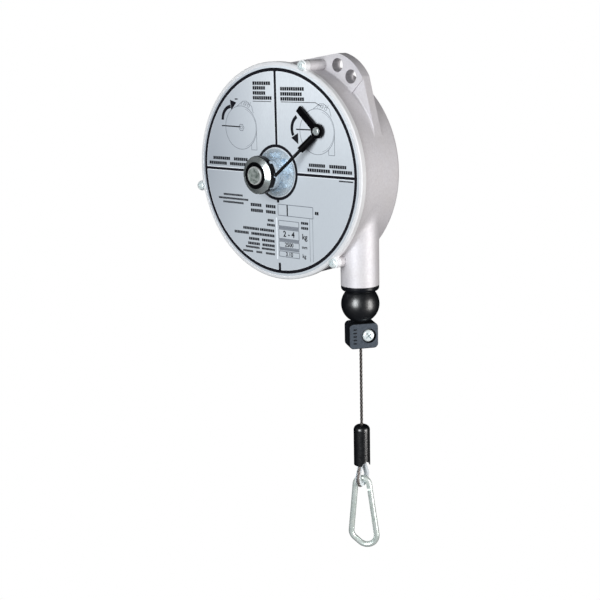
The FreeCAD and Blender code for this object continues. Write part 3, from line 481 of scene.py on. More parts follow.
def lathe(build, profile, place, segments=48):
    """Spin (radius, height) points about the Z axis of a place; a radius of 0 closes the end."""
    rows = []
    for radius, height in profile:
        count = segments if radius else 1
        angles = [2 * math.pi * k / segments for k in range(count)]
        ring = [(radius * math.cos(angle), radius * math.sin(angle), height) for angle in angles]
        rows.append([build.verts.new(place @ Vector(spot)) for spot in ring])
    for low, high in zip(rows, rows[1:]):
        for k in range(segments):
            after = k + 1
            corners = [low[k % len(low)], low[after % len(low)], high[after % len(high)], high[k % len(high)]]
            build.faces.new(list(dict.fromkeys(corners)))


def carve(item, cutter):
    """Cut one object out of another and throw the cutter away."""
    tool = item.modifiers.new("carve", "BOOLEAN")
    tool.object = cutter
    tool.solver = "EXACT"
    bpy.context.view_layer.update()
    made = bpy.data.meshes.new_from_object(item.evaluated_get(bpy.context.evaluated_depsgraph_get()))
    item.modifiers.remove(tool)
    old = item.data
    item.data = made
    bpy.data.meshes.remove(old)
    bpy.data.objects.remove(cutter)
    smooth(made)


# ---------------------------------------------------------------- screws

def quarter(radius):
    """(across, up) offsets round a quarter circle, from straight across to straight up."""
    angles = [math.radians(angle) for angle in range(90, -1, -15)]
    return [(radius * math.sin(angle), radius * math.cos(angle)) for angle in angles]


def pan_head(radius, height):
    """An upright rim, a rounded shoulder and a low crown, as (radius, height) points up from the seat."""
    soft = 0.49 * height
    shoulder = [(radius - soft + across, height - soft + up) for across, up in quarter(soft)]
    crown = 1.078 * height
    return [(radius, 0), *shoulder, (0.4 * radius, crown - 0.03 * height), (0, crown)]


def cross_cutter(place, top, reach, width, depth):
    """A plus-shaped bar that stands in a screw's head, for its recess."""
    half = width / 2
    arm = [(reach, -half), (reach, half), (half, half)]
    outline = [(x * math.cos(turn) - y * math.sin(turn), x * math.sin(turn) + y * math.cos(turn))
               for turn in (0, math.pi / 2, math.pi, math.pi * 1.5) for x, y in arm]
    build = bmesh.new()
    low, high = ([build.verts.new(place @ Vector((x, y, z))) for x, y in outline]
                 for z in (top - depth, top + depth))
    build.faces.new(low)
    build.faces.new(high)
    for k in range(len(outline)):
        after = (k + 1) % len(outline)
        build.faces.new((low[k], low[after], high[after], high[k]))
    item = bpy.data.objects.new("cross_cutter", finished(build, "cross_cutter"))
    bpy.context.scene.collection.objects.link(item)
    return item


def cross_screws(name, node, body, material, places, radius, height, shank_r, length):
    """Pan-head screws with crossed recesses, standing for a CAD node. Each place is the seat of a head."""
    shank = [(0, -length), (0.7 * shank_r, -length), (shank_r, 0.6 * shank_r - length), (shank_r, 0)]
    build = bmesh.new()
    for place in places:
        lathe(build, shank + pan_head(radius, height), place)
    bmesh.ops.remove_doubles(build, verts=build.verts, dist=1e-7)
    item = add_piece(name, finished(build, name), body, material, replaces=(node,))
    for place in places:
        carve(item, cross_cutter(place, height * 1.02, radius * 0.6, radius * 0.22, height * 0.35))
    return item


def islands(node):
    """The middle and the size of each separate solid of a node, from the top down."""
    build = bmesh.new()
    build.from_mesh(nodes[node].data)
    bmesh.ops.remove_doubles(build, verts=build.verts, dist=1e-6)
    left = set(build.verts)
    found = []
    while left:
        heap = [left.pop()]
        group = []
        while heap:
            vertex = heap.pop()
            group.append(vertex.co.copy())
            for edge in vertex.link_edges:
                other = edge.other_vert(vertex)
                if other in left:
                    left.remove(other)
                    heap.append(other)
        low = Vector([min(p[axis] for p in group) for axis in range(3)])
        high = Vector([max(p[axis] for p in group) for axis in range(3)])
        found.append(((low + high) / 2, high - low))
    build.free()
    return sorted(found, key=lambda island: island[0].z, reverse=True)


HEAD_SHARE = 0.93      # a pan head's rim, as a share of the CAD head's height; the crown takes the rest


def cover_screws(material):
    """The cover's screws, each tightened to a different angle."""
    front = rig.box("cover_screws")[0].y
    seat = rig.box("front_cover")[0].y
    places = []
    for index, (centre, size) in enumerate(islands("cover_screws")):
        turn = Matrix.Rotation(math.radians(20 + 47 * index), 4, "Z")
        places.append(towards((0, -1, 0), (centre.x, seat, centre.z)) @ turn)
    radius, height = size.x / 2, seat - front
    cross_screws("cover_screw_set", "cover_screws", "housing", material, places, radius, HEAD_SHARE * height,
                 0.54 * radius, size.y - height - 0.3 * MM)


def clamp_direction():
    """Outward direction of the rope clamp's front face, from the rope to its screw's head."""
    front = middle("clamp_front") - middle("clamp_rear")
    front.z = 0
    return front.normalized()


# ---------------------------------------------------------------- the printed label

PRINT = 0.07 * MM               # how proud the print stands
SUNK = 0.03 * MM                # how deep it reaches into the plate
BLOCK_HEIGHT = 1.08             # a greeked character's height, as a share of its row's
BLOCK_PITCH = 0.86              # its pitch, as a share of its height
BLOCK_START, BLOCK_FILL = 0.09, 0.84    # its left edge and its width, as shares of its pitch
FIGURE_SIZE = 1.38              # a figure's font size, as a share of its row's height
FIGURE_WEIGHT = 0.03            # how much a figure's strokes are thickened, as a share of its row's height
# Plain figures and units of the rating table: (text, x, height above the middle, row's height)
FIGURES = (("2 - 4", 14.4, -62.2, 6), ("2500", 14.4, -73, 4.2), ("3.10", 14.4, -82.8, 4.2),
           ("kg", 35.6, -62.8, 5.6), ("mm", 35.2, -73.3, 3.4), ("kg", 34.6, -82.4, 4))


def band(build, left, right, proud, closed=False):
    """A raised strip between two lines of (x, z) points, in millimetres from the label's middle."""
    front, back = LABEL_FACE - proud, LABEL_FACE + SUNK
    edges = [[build.verts.new((LABEL.x + x * MM, depth, LABEL.z + z * MM)) for x, z in line]
             for line, depth in ((left, front), (left, back), (right, back), (right, front))]
    count = len(left)
    for here in range(count if closed else count - 1):
        after = (here + 1) % count
        for a, b in zip(edges, edges[1:] + edges[:1]):
            build.faces.new((a[here], a[after], b[after], b[here]))
    if not closed:
        for end in (0, -1):
            build.faces.new([edge[end] for edge in edges])


def bar(build, x0, z0, x1, z1, proud=PRINT):
    """A filled rectangle between two corners."""
    band(build, [(x0, z0), (x1, z0)], [(x0, z1), (x1, z1)], proud)


def stroke(build, points, width):
    """A line of straight runs."""
    for (x0, z0), (x1, z1) in zip(points, points[1:]):
        run = math.hypot(x1 - x0, z1 - z0)
        nx, nz = -(z1 - z0) / run * width / 2, (x1 - x0) / run * width / 2
        left, right = ([(x + side * nx, z + side * nz) for x, z in ((x0, z0), (x1, z1))] for side in (1, -1))
        band(build, left, right, PRINT)


def round_line(build, x, z, radius, width, start=0.0, end=360.0, proud=PRINT, steps=96):
    """A circle or an arc, anticlockwise from start to end in degrees."""
    whole = abs(end - start) >= 360
    count = steps if whole else steps + 1
    angles = [math.radians(start + (end - start) * k / steps) for k in range(count)]
    lines = [[(x + r * math.cos(angle), z + r * math.sin(angle)) for angle in angles]
             for r in (radius - width / 2, radius + width / 2)]
    band(build, *lines, proud, closed=whole)


def arrow_head(build, tip, base_a, base_b):
    """A filled triangle."""
    band(build, [tip, base_a], [(tip[0] + 0.01, tip[1]), base_b], PRINT)


def words(build, x0, x1, z, tall):
    """A line of print as blocks the size of its characters: no lettering."""
    block = BLOCK_HEIGHT * tall
    count = max(1, round((x1 - x0) / (BLOCK_PITCH * block)))
    pitch = (x1 - x0) / count
    for k in range(count):
        left = x0 + pitch * (k + BLOCK_START)
        bar(build, left, z - block / 2, left + BLOCK_FILL * pitch, z + block / 2)


def print_lines(build):
    """Rows of greeked words, as (left, right, height above the middle, row's height)."""
    rows = [
        (-30, -5.5, 88.2, 3.2), (-30, -12.5, 83.5, 3.2), (-30, -12.5, 78.5, 3.2), (-30, -4, 73.7, 3.2),
        (7.5, 38.8, 83, 3.2), (7.5, 36, 78, 3.2), (7.5, 38.8, 73.2, 3.2),
        (-90.5, -65.5, 10.7, 3), (-60, -40, 10.7, 3), (-96.5, -70.5, 5.5, 3), (-66, -43, 5.5, 3),
        (43, 64, 9.7, 3), (69, 90.5, 9.7, 3), (41, 70, 4.9, 3), (73, 97.5, 4.9, 3),
        (-77, -49, -27, 1.9), (-84.5, -41, -31, 1.9), (-78, -48, -35, 1.9), (81, 98.5, -3.8, 1.3),
        (-38, -22.5, -35.2, 3), (-16.5, -2.8, -35.2, 3), (-38, -20.5, -41, 3), (-16.5, -3, -41, 3),
        (-14.5, -6, -49.7, 2.4), (-15.5, -4.5, -54.5, 2.4), (-50, -27, -60.3, 2.6), (-26, -5.5, -60.3, 2.6),
        (-63, -42, -65.5, 2.6), (-38.5, -5.5, -65.5, 2.6), (-42, -27, -71, 2.6), (-23.5, -5.5, -71, 2.6),
        (-43.5, -26.5, -76, 2.6), (-23, -5.5, -76, 2.6), (-47, -27, -80, 2), (-24, -5.5, -80, 2),
        (-51, -36.5, -84.5, 2), (-32, -23.5, -84.5, 2), (-18.5, -5.5, -84.5, 2),
        (49.5, 54.5, -37.5, 3), (31, 40.5, -48.8, 2.4), (31, 40.5, -53.8, 2.4),
    ]
    for left, right, height, tall in rows:
        words(build, left, right, height, tall)


def black_print(build):
    """The rings and rules that quarter the label, both arrows, and the words."""
    edge_r, edge_width = LABEL_R / MM - 3.9, 3.3
    hub_r, hub_width = 26.7, 3
    overlap = 0.05
    inside, outside = edge_r - edge_width / 2 + overlap, hub_r + hub_width / 2 - overlap
    low, high = -1.7, 1.1       # edges of the level rule
    left, right = -0.7, 2.4     # edges of the upright rule
    round_line(build, 0, 0, edge_r, edge_width, steps=180)
    round_line(build, 0, 0, hub_r, hub_width)
    bar(build, -inside, low, -outside, high)
    bar(build, outside, low, inside, high)
    bar(build, left, outside, right, inside)
    bar(build, left, -30.5, right, -outside)
    bar(build, left, -inside, right, -92.5)
    stroke(build, [(-30, 70.2), (-5, 70.2)], 0.6)
    stroke(build, [(8, 70.2), (53, 70.2), (60, 67)], 0.6)
    bar(build, -55.5, 71.4, -51.5, 72.6)
    round_line(build, -60.5, 51, 13.5, 3.5, 96, 182, steps=24)
    arrow_head(build, (-53.5, 68.5), (-62.5, 71.2), (-61, 60.8))
    round_line(build, 36, 44.5, 14, 3.5, 122, 208, steps=24)
    arrow_head(build, (30, 29.5), (21, 35.5), (30, 40.5))
    stroke(build, [(-75.5, 44.5), (-49, 44)], 1.2)
    stroke(build, [(27.5, 44), (50, 44)], 1.2)
    bar(build, 12.2, -43.3, 13.8, -32)
    print_lines(build)


def grey_print(build):
    """Thin drawn lines: two balancers, the boxes' frames and the table's rules."""
    fine = 0.55
    for x, z in ((-48, 43.2), (54.5, 42.4)):
        lug = [(x - 4, z + 22), (x + 4, z + 26.8), (x + 9, z + 26.9), (x + 16, z + 22), (x + 18, z + 15)]
        round_line(build, x, z, 22, fine)
        round_line(build, x + 1.5, z, 19.6, 0.3, -75, 75, steps=40)
        stroke(build, [(x + 21.7, z - 3), (x + 21.7, z - 22)], fine)
        stroke(build, [(x + 14.2, z - 17), (x + 14.2, z - 22), (x + 21.7, z - 22)], fine)
        stroke(build, lug, fine)
        for step in range(5):
            stroke(build, [(x + 1 + 3 * step, z + 22.6), (x + 3 + 3 * step, z + 26)], 0.35)
        round_line(build, x + 7, z + 24.2, 1.5, 0.45, steps=20)
        round_line(build, x + 11.5, z + 22.2, 1.5, 0.45, steps=20)
    round_line(build, -47.5, 43.4, 3.6, 0.8, steps=6)
    round_line(build, -47.5, 43.4, 1.5, 0.6, steps=18)
    boxes = [(0.5, -43.3, 47, -32)] + [(0.8, low, 28, high) for low, high in
                                       ((-54, -48.5), (-67, -57.5), (-76, -70), (-85.5, -80))]
    for x0, z0, x1, z1 in boxes:
        stroke(build, [(x0, z0), (x1, z0), (x1, z1), (x0, z1), (x0, z0)], 0.8)
    for top in (-54.5, -67, -76.5):
        bar(build, 0.8, top - 2.5, 28, top, PRINT * 0.8)
    for x in (42.5, 46.5):
        stroke(build, [(x, -44), (x, -87)], 0.4)


def pale_print(build):
    """Pale edges beside the black rules, and the table's pale margin."""
    ring_r, hub_r = LABEL_R / MM - 5.3, 28
    proud = PRINT * 0.5
    round_line(build, 0, 0, ring_r, 0.9, steps=180, proud=proud)
    bar(build, -ring_r, -2.2, -hub_r, 1.7, proud)
    bar(build, hub_r, -2.2, ring_r, 1.7, proud)
    bar(build, -1.1, hub_r, 2.8, ring_r, proud)
    bar(build, -2.6, -89, -1.4, -46, proud)


def numerals(text, x, z, tall, material, name):
    """Plain numbers and units, as on any rating plate."""
    curve = bpy.data.curves.new(name, "FONT")
    curve.body = text
    curve.size = FIGURE_SIZE * tall * MM
    curve.align_x, curve.align_y = "CENTER", "CENTER"
    curve.extrude = PRINT
    curve.offset = FIGURE_WEIGHT * tall * MM
    item = bpy.data.objects.new(name, curve)
    item.location = (LABEL.x + x * MM, LABEL_FACE, LABEL.z + z * MM)
    item.rotation_euler = (math.pi / 2, 0, 0)
    bpy.context.scene.collection.objects.link(item)
    bpy.context.view_layer.update()
    mesh = bpy.data.meshes.new_from_object(item)
    mesh.transform(item.matrix_world)
    bpy.data.objects.remove(item)
    add_piece(name, mesh, "housing", material, "label")


def label_art():
    """All that is printed on the label."""
    black = ink("black_ink", (0.005, 0.005, 0.008))
    grey = ink("grey_ink", (0.17, 0.185, 0.21), 0.5)
    pale = ink("pale_ink", (0.72, 0.75, 0.79), 0.5)
    for name, draw, material in (("label_black_print", black_print, black),
                                 ("label_grey_print", grey_print, grey),
                                 ("label_pale_print", pale_print, pale)):
        build = bmesh.new()
        draw(build)
        add_piece(name, finished(build, name), "housing", material, "label")
    for index, (text, x, z, tall) in enumerate(FIGURES):
        numerals(text, x, z, tall, black, f"label_value_{index}")


# ---------------------------------------------------------------- wire rope

STRANDS = 4
ROPE_LAY = 17.2 * MM


def route_points(points):
    """Points along the smooth NURBS line that a route of control points makes."""
    curve = bpy.data.curves.new("route", "CURVE")
    curve.dimensions = "3D"
    line = curve.splines.new("NURBS")
    line.points.add(len(points) - 1)
    for spot, point in zip(line.points, points):
        spot.co = (*point, 1)
    line.order_u = 3
    line.use_endpoint_u = True
    line.resolution_u = 16
    item = bpy.data.objects.new("route", curve)
    mesh = bpy.data.meshes.new_from_object(item)
    spots = [vertex.co.copy() for vertex in mesh.vertices]
    bpy.data.objects.remove(item)
    bpy.data.meshes.remove(mesh)
    bpy.data.curves.remove(curve)
    return spots


def evenly(spots, step):
    """The same line with its points a step apart."""
    spaced = [spots[0]]
    gone = 0.0
    for start, end in zip(spots, spots[1:]):
        run = (end - start).length
        while gone + step <= run:
            gone += step
            spaced.append(start.lerp(end, gone / run))
        gone -= run
    spaced.append(spots[-1])
    return spaced


def squared(spots):
    """Each point with two directions square to the line, which turn as little as possible on the way."""
    side = Vector((1, 0.3, 0)).normalized()
    for index, spot in enumerate(spots):
        way = (spots[min(index + 1, len(spots) - 1)] - spots[max(index - 1, 0)]).normalized()
        side = (side - way * side.dot(way)).normalized()
        yield spot, side, way.cross(side)


def tube(build, spots, radius, sides):
    """A round tube through points, closed at both ends."""
    angles = [2 * math.pi * k / sides for k in range(sides)]
    ways = [(math.cos(angle), math.sin(angle)) for angle in angles]
    rows = [[build.verts.new(spot + radius * (side * x + other * y)) for x, y in ways]
            for spot, side, other in squared(spots)]
    for low, high in zip(rows, rows[1:]):
        for k in range(sides):
            build.faces.new((low[k], low[(k + 1) % sides], high[(k + 1) % sides], high[k]))
    build.faces.new(rows[0])
    build.faces.new(rows[-1])


def stranded(build, spots):
    """Strands laid round a core, along points that are close together."""
    share = math.sin(math.pi / STRANDS)
    strand_r = ROPE_R * share / (1 + share)
    lines = [[] for _ in range(STRANDS)]
    gone = 0.0
    before = spots[0]
    for spot, side, other in squared(spots):
        gone += (spot - before).length
        before = spot
        for strand in range(STRANDS):
            angle = 2 * math.pi * (gone / ROPE_LAY + strand / STRANDS)
            out = side * math.cos(angle) + other * math.sin(angle)
            lines[strand].append(spot + out * (ROPE_R - strand_r))
    for line in lines:
        tube(build, line, strand_r, 8)
    tube(build, spots, ROPE_R * 0.4, 6)


def rope_run(name, points, material, replaces, step=1.2 * MM):
    """A stranded stretch of the load rope, standing for a CAD node, and the points that it follows."""
    spots = evenly(route_points(points), step)
    build = bmesh.new()
    stranded(build, spots)
    item = add_piece(name, finished(build, name), "rope_end", material, replaces=(replaces,), sharp=180)
    return item, spots


def load_rope(material):
    """The rope from the guide's mouth to just inside its ferrule, its points and its length."""
    top = Vector((ROPE.x, ROPE.y, ROPE_EXIT))
    low = Vector((ROPE.x, ROPE.y, FERRULE_TOP - 2 * MM))
    route = [top.lerp(low, share) for share in (0, 0.25, 0.5, 0.75, 1)]
    rope, spots = rope_run("load_rope_strands", route, material, "load_rope")
    return rope, spots, (top - low).length


def eye_rope(material):
    """The rope's loop round the thimble, in the thimble's own plane."""
    low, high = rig.box("rope_eye")
    across = Vector((low.x - high.x, high.y - low.y, 0)) / 2
    loop = across.length - 0.2 * MM - ROPE_R
    across.normalize()
    foot = low.z + ROPE_R
    middle_z = foot + loop
    neck = [(1.75 * MM, high.z - 0.5 * MM), (1.9 * MM, high.z - 5 * MM)]
    bow = [(0.86 * loop, middle_z + 0.75 * loop), (1.14 * loop, middle_z - 0.15 * loop), (0.80 * loop, foot)]
    right = neck + bow
    left = [(-x, z) for x, z in reversed(right)]
    route = [Vector((ROPE.x, ROPE.y, z)) + across * x for x, z in [*right, (0, foot - 0.25 * MM), *left]]
    eye, _ = rope_run("rope_eye_strands", route, material, "rope_eye", step=0.8 * MM)
    return eye


def travel_rope(material):
    """The hidden stretch that lengthens as the rope pays out."""
    top, bottom = (Vector((ROPE.x, ROPE.y, corner.z)) for corner in reversed(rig.box("travel_rope")))
    steps = 12
    build = bmesh.new()
    tube(build, [top.lerp(bottom, k / steps) for k in range(steps + 1)], ROPE_R, 24)
    mesh = finished(build, "travel_rope_run")
    item = add_piece("travel_rope_run", mesh, None, material, replaces=("travel_rope",), sharp=80)
    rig.blend(item, "housing", "rope_end", top, bottom)


# ---------------------------------------------------------------- other added pieces

def on_housing(out, reach):
    """The point of the housing's round wall straight above a point at some distance from the rope."""
    x, y = ROPE.x + out.x * reach, ROPE.y + out.y * reach
    return Vector((x, y, LABEL.z - math.sqrt(max(HOUSING_R ** 2 - (x - LABEL.x) ** 2, 0))))


def spout_blend(material):
    """The cast fillet where the rope spout leaves the round housing."""
    spout_r = half_width("rope_guide") + 0.2 * MM
    size, sunk = 5 * MM, 0.6 * MM
    shares = (0, 0.2, 0.4, 0.6, 0.8, 1)
    up = Vector((0, 0, 1))
    steps = 96
    build = bmesh.new()
    rows = []
    for k in range(steps):
        angle = 2 * math.pi * k / steps
        out = Vector((math.cos(angle), math.sin(angle), 0))
        corner, housing = on_housing(out, spout_r), on_housing(out, spout_r + size)
        spout = corner - up * size
        arc = [spout * (1 - t) ** 2 + corner * 2 * t * (1 - t) + housing * t ** 2 for t in shares]
        rows.append([build.verts.new(spot) for spot in [corner + (up - out) * sunk, *arc]])
    for a, b in zip(rows, rows[1:] + rows[:1]):
        for k in range(len(a)):
            after = (k + 1) % len(a)
            build.faces.new((a[k], b[k], b[after], a[after]))
    add_piece("spout_fillet", finished(build, "spout_fillet"), "housing", material, "casting", sharp=60)


def guide_flange(material):
    """The rope guide: its collar under the spout is as wide as the spout and well rounded below."""
    low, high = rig.box("rope_guide")
    wide = half_width("rope_guide")
    plug = wide - 3.05 * MM
    mouth, throat = 5 * MM, 2 * MM
    soft, flare = 3.2 * MM, mouth - throat
    seat = low.z + 5.7 * MM
    rim = [(wide - soft + across, low.z + soft - up) for across, up in quarter(soft)]
    lip = [(mouth - across, low.z + flare - up) for across, up in reversed(quarter(flare))]
    top = (throat, high.z - flare)
    build = bmesh.new()
    lathe(build, [top, (mouth, high.z), (plug, high.z), (plug, seat), (wide, seat), *rim, *lip, top],
          Matrix.Translation((ROPE.x, ROPE.y, 0)), 64)
    bmesh.ops.remove_doubles(build, verts=build.verts, dist=1e-7)
    add_piece("guide_collar", finished(build, "guide_collar"), "housing", material, replaces=("rope_guide",))


def pivot_screw(material):
    """Small hexagon-head screw on which the lever turns. Heights count from the washer's seat."""
    low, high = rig.box("pawl_pivot_screw")
    head_h = 2 * MM
    foot = head_h - (high.y - low.y)
    head_r = half_width("pawl_pivot_screw")
    place = towards((0, -1, 0), (PIVOT.x, low.y, PIVOT.z)) @ Matrix.Translation((0, 0, -head_h))
    flats = place @ Matrix.Rotation(math.radians(12), 4, "Z")
    top, hexagon_r, neck = 1.9 * MM, 0.98 * head_r, -0.02 * MM
    hexagon = [(0, 0.3 * MM), (hexagon_r, 0.3 * MM), (hexagon_r, 1.5 * MM), (0.82 * head_r, top), (0, top)]
    shank = [(0, foot), (2 * MM, foot), (2.4 * MM, -4 * MM), (2.4 * MM, neck)]
    washer = [(head_r, neck), (head_r, 0.35 * MM), (0.86 * head_r, 0.4 * MM), (0, 0.4 * MM)]
    build = bmesh.new()
    lathe(build, hexagon, flats, 6)
    item = add_piece("pivot_screw_detail", finished(build, "pivot_screw_head"), "housing", material,
                     replaces=("pawl_pivot_screw",))
    carve(item, cross_cutter(place, top, 0.45 * head_r, 0.6 * MM, 0.7 * MM))
    build = bmesh.new()
    build.from_mesh(item.data)
    lathe(build, shank + washer, place, 36)
    bmesh.ops.recalc_face_normals(build, faces=build.faces)
    build.to_mesh(item.data)
    build.free()
    smooth(item.data)


def clamp_details(dark, bright):
    """The clamp's pan-head screw, and a column of small cast ribs beside it."""
    up, out = Vector((0, 0, 1)), clamp_direction()
    side = up.cross(out)
    screw = middle("clamp_screw")
    low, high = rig.box("clamp_screw")
    depths = [Vector(vertex.co).dot(out) for vertex in nodes["clamp_screw"].data.vertices]
    front = max(Vector(vertex.co).dot(out) for vertex in nodes["clamp_front"].data.vertices)
    axis = screw - out * screw.dot(out)
    radius, height = (high.z - low.z) / 2, 6 * MM
    seat = max(depths) - height
    place = towards(out, axis + out * seat) @ Matrix.Rotation(math.radians(38), 4, "Z")
    shank_r, length = 4 * MM, seat - min(depths) - 0.2 * MM
    head = cross_screws("clamp_screw_detail", "clamp_screw", "rope_end", bright, [place], radius,
                        HEAD_SHARE * height, shank_r, length)
    count, pitch, aside, proud = 5, 3.6 * MM, 14.2 * MM, 0.1 * MM
    size = (3.4 * MM, 1.3 * MM, 0.5 * MM)
    turn = Matrix((side, up, out)).transposed().to_4x4() @ Matrix.Diagonal((*size, 1))
    build = bmesh.new()
    for k in range(count):
        at = axis - side * aside + out * (front + proud) + up * (k - (count - 1) / 2) * pitch
        bmesh.ops.create_cube(build, size=1.0, matrix=Matrix.Translation(at) @ turn)
    ribs = add_piece("clamp_ribs", finished(build, "clamp_ribs"), "rope_end", dark, "clamp")
    soften = ribs.modifiers.new("soften", "BEVEL")
    soften.width = 0.2 * MM
    soften.segments = 2
    return [head, ribs]


# ---------------------------------------------------------------- finishes on the CAD nodes

def dress(material, *names):
    """Give CAD nodes a finish."""
    for name in names:
        item = nodes[name]
        item.data.materials.clear()
        item.data.materials.append(material)


def paint():
    """Dress every CAD node. Three of the finishes come back, for the pieces that are added."""
    cast = casting()
    bright_zinc = zinc("hub_zinc", (0.78, 0.86, 0.92), 0.24, (0.42, 0.58, 0.74), metal=0.6)
    hook_zinc = zinc("hook_zinc", (0.88, 0.95, 0.91), 0.24, (0.66, 0.76, 0.71), metal=0.6)
    screw_zinc = zinc("screw_zinc", (0.84, 0.90, 0.90), 0.26, (0.58, 0.66, 0.68), metal=0.35)
    wire = rope_wire()
    dress(cast, "rear_housing")
    dress(machined_rim(), "front_cover")
    dress(label_metal(), "label_plate")
    blacks = (
        ("ball_rubber", 0.32, 0.03, (0.0015, 0.002, 0.003), 0.95, ("buffer_ball",)),
        ("sleeve_plastic", 0.28, 0.06, (0.0015, 0.002, 0.0025), 0.9, ("rope_sleeve",)),
        ("lever_paint", 0.34, 0.04, (0.0015, 0.0015, 0.002), 0.05, ("pawl_lever", "pawl_rod")),
        ("grip_rubber", 0.5, 0.08, (0.0015, 0.0015, 0.002), 0.04, ("pawl_grip",)),
        ("disc_phosphate", 0.3, 0.04, (0.002, 0.002, 0.003), 0.1, ("index_disc",)),
        ("ring_phosphate", 0.3, 0.04, (0.0015, 0.0015, 0.002), 0.06, ("ring_insert",)))
    for name, rough, grain, colour, shine, names in blacks:
        dress(gloss_black(name, rough, grain, colour, shine), *names)
    dress(bright_zinc, "ratchet_hub")
    dress(zinc("ring_zinc", (0.52, 0.56, 0.56), 0.26, (0.24, 0.28, 0.28), metal=0.8), "lock_ring")
    dress(forged_bolt(), "hub_bolt")
    dress(clamp_metal(clamp_direction()), "clamp_front", "clamp_rear")
    dress(zinc("thimble_zinc", (0.86, 0.90, 0.93), 0.3, (0.74, 0.82, 0.88), metal=0.2), "thimble")
    dress(hook_zinc, "snap_hook_body", "snap_hook_gate", "gate_pin")
    metals = (
        ("ferrule_metal", (0.62, 0.62, 0.60), 0.35, ("crimp_ferrule",)),
        ("arbor_steel", (0.40, 0.40, 0.41), 0.32,
         ("tension_arbor", "spring_collar", "spring_cover", "spring_cover_screws", "pawl_spring")),
        ("spring_strip", (0.20, 0.21, 0.26), 0.3, ("power_spring",)),
        ("drum_metal", (0.55, 0.56, 0.57), 0.42, ("rope_drum",)),
        ("bush_bronze", (0.52, 0.33, 0.16), 0.36,
         ("front_bush", "rear_bush", "drum_front_bush", "drum_rear_bush")))
    for name, colour, rough, names in metals:
        dress(plain_steel(name, colour, rough), *names)
    dress(twisted_rope(), "wound_rope", "housed_rope")
    return cast, screw_zinc, wire


# ---------------------------------------------------------------- light and camera

AZIMUTH, ELEVATION, ROLL = (math.radians(angle) for angle in (41.64, 13.03, 1.37))
CAMERA_PLACE = (0.7074, -0.8646, 0.0237)
LENS, SENSOR = 67.15, 36        # millimetres, as Blender's cameras count them
LIGHT_AIM = Vector((-0.02, 0, -0.16))
DOME = 0.09                     # strength of the light from all round


def camera_axes():
    """Right, up and backward directions of the view."""
    right = Vector((math.cos(AZIMUTH), math.sin(AZIMUTH), 0))
    level_back = Vector((math.sin(AZIMUTH), -math.cos(AZIMUTH), 0))
    up = Vector((0, 0, math.cos(ELEVATION))) - level_back * math.sin(ELEVATION)
    turned_right = right * math.cos(ROLL) - up * math.sin(ROLL)
    turned_up = right * math.sin(ROLL) + up * math.cos(ROLL)
    return turned_right, turned_up, turned_right.cross(turned_up)


def set_camera():
    data = bpy.data.cameras.new("camera")
    data.lens = LENS
    data.sensor_width = SENSOR
    data.clip_start = 50 * MM
    item = bpy.data.objects.new("camera", data)
    item.matrix_world = Matrix.Translation(CAMERA_PLACE) @ Matrix(camera_axes()).transposed().to_4x4()
    bpy.context.scene.collection.objects.link(item)
    bpy.context.scene.camera = item


def area_light(name, offset, size, power, colour=(1, 1, 1)):
    """A soft box placed by the view's own right, up and backward distances from where it aims."""
    right, up, back = camera_axes()
    data = bpy.data.lights.new(name, "AREA")
    data.shape = "RECTANGLE"
    data.size, data.size_y = size
    data.energy = power
    data.color = colour
    item = bpy.data.objects.new(name, data)
    away = right * offset[0] + up * offset[1] + back * offset[2]
    item.matrix_world = towards(away, LIGHT_AIM + away)
    bpy.context.scene.collection.objects.link(item)
    return item


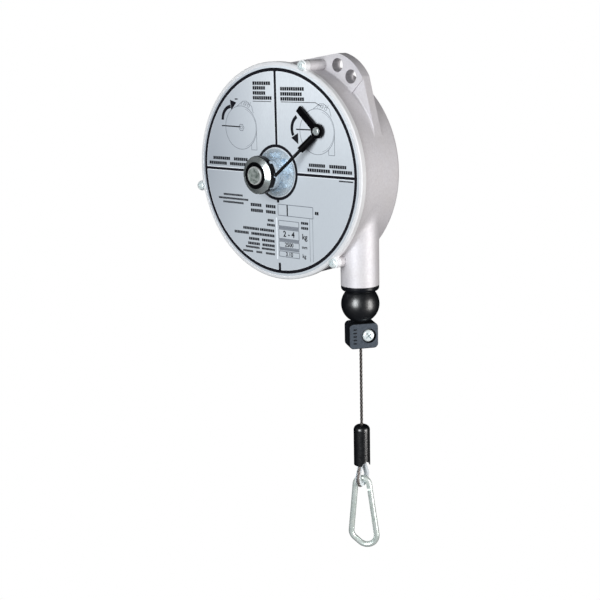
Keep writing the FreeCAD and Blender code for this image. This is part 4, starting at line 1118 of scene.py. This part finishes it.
def set_world():
    """White behind the object for the camera. A dome, pale in front and dark above and behind, lights it."""
    world = bpy.data.worlds.new("studio")
    bpy.context.scene.world = world
    world.use_nodes = True
    tree = world.node_tree
    tree.nodes.clear()
    kinds = ("TexCoord", "VectorMath", "MapRange", "ValToRGB", "Background", "Background", "LightPath",
             "MixShader", "OutputWorld")
    made = (tree.nodes.new("ShaderNode" + kind) for kind in kinds)
    place, facing, rise, shade, dome, white, path, mix, out = made
    _, up, back = camera_axes()
    facing.operation = "DOT_PRODUCT"
    facing.inputs[1].default_value = (back - up * 0.3).normalized()
    rise.inputs["From Min"].default_value = -1
    dark, pale = shade.color_ramp.elements
    dark.color, dark.position = (0.05, 0.05, 0.06, 1), 0.3
    pale.color, pale.position = (0.93, 0.92, 1, 1), 0.75
    dome.inputs["Strength"].default_value = DOME
    white.inputs["Color"].default_value = (1, 1, 1, 1)
    for source, socket in ((place.outputs["Generated"], facing.inputs[0]),
                           (facing.outputs["Value"], rise.inputs["Value"]),
                           (rise.outputs["Result"], shade.inputs["Fac"]),
                           (shade.outputs["Color"], dome.inputs["Color"]),
                           (path.outputs["Is Camera Ray"], mix.inputs["Fac"]),
                           (dome.outputs["Background"], mix.inputs[1]),
                           (white.outputs["Background"], mix.inputs[2]),
                           (mix.outputs["Shader"], out.inputs["Surface"])):
        tree.links.new(source, socket)


def set_light():
    """Two soft boxes in front, and a fill behind that only lights the back."""
    area_light("left_box", (-0.63, -0.06, 1.06), (0.55, 0.85), 20, (0.95, 0.98, 1))
    area_light("right_box", (1.09, -0.24, 0.66), (0.55, 1.0), 17, (1, 0.985, 0.97))
    back = area_light("back_fill", (-0.5, 0.9, -1.2), (1.0, 1.0), 32)
    back.visible_camera = False
    back.visible_glossy = False


def main():
    bpy.context.scene.view_settings.view_transform = "Standard"
    set_world()
    set_light()
    set_camera()
    cast, screw_zinc, wire = paint()
    cover_screws(screw_zinc)
    pivot_screw(zinc("pivot_zinc", (0.62, 0.66, 0.66), 0.3, (0.26, 0.30, 0.30), metal=0.6))
    rib_shadow = gloss_black("rib_shadow", 0.5, colour=(0.004, 0.005, 0.007), shine=0.15)
    on_clamp = clamp_details(rib_shadow, screw_zinc)
    spout_blend(cast)
    guide_flange(gloss_black("guide_nylon", 0.30, 0.04))
    label_art()
    travel_rope(twisted_rope())
    eye = eye_rope(wire)
    rope, spots, length = load_rope(wire)
    on_rope = ("buffer_ball", "clamp_front", "clamp_rear", "crimp_ferrule", "rope_sleeve", "thimble",
               "snap_hook_body", "snap_hook_gate", "gate_pin")
    hanging = [nodes[name] for name in on_rope] + [eye, *on_clamp]
    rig.cord(rope, exit=spots[0], length=round(length, 4), diameter=2 * ROPE_R, far_end="fitting",
            stiffness="stiff", lay="taut", path=spots, with_pieces=hanging)
    with open("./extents.json", "w") as record:
        boxes = {"cad": cad_box, "visual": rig.bounds()}
        json.dump({name: [list(corner) for corner in box] for name, box in boxes.items()}, record)


main()
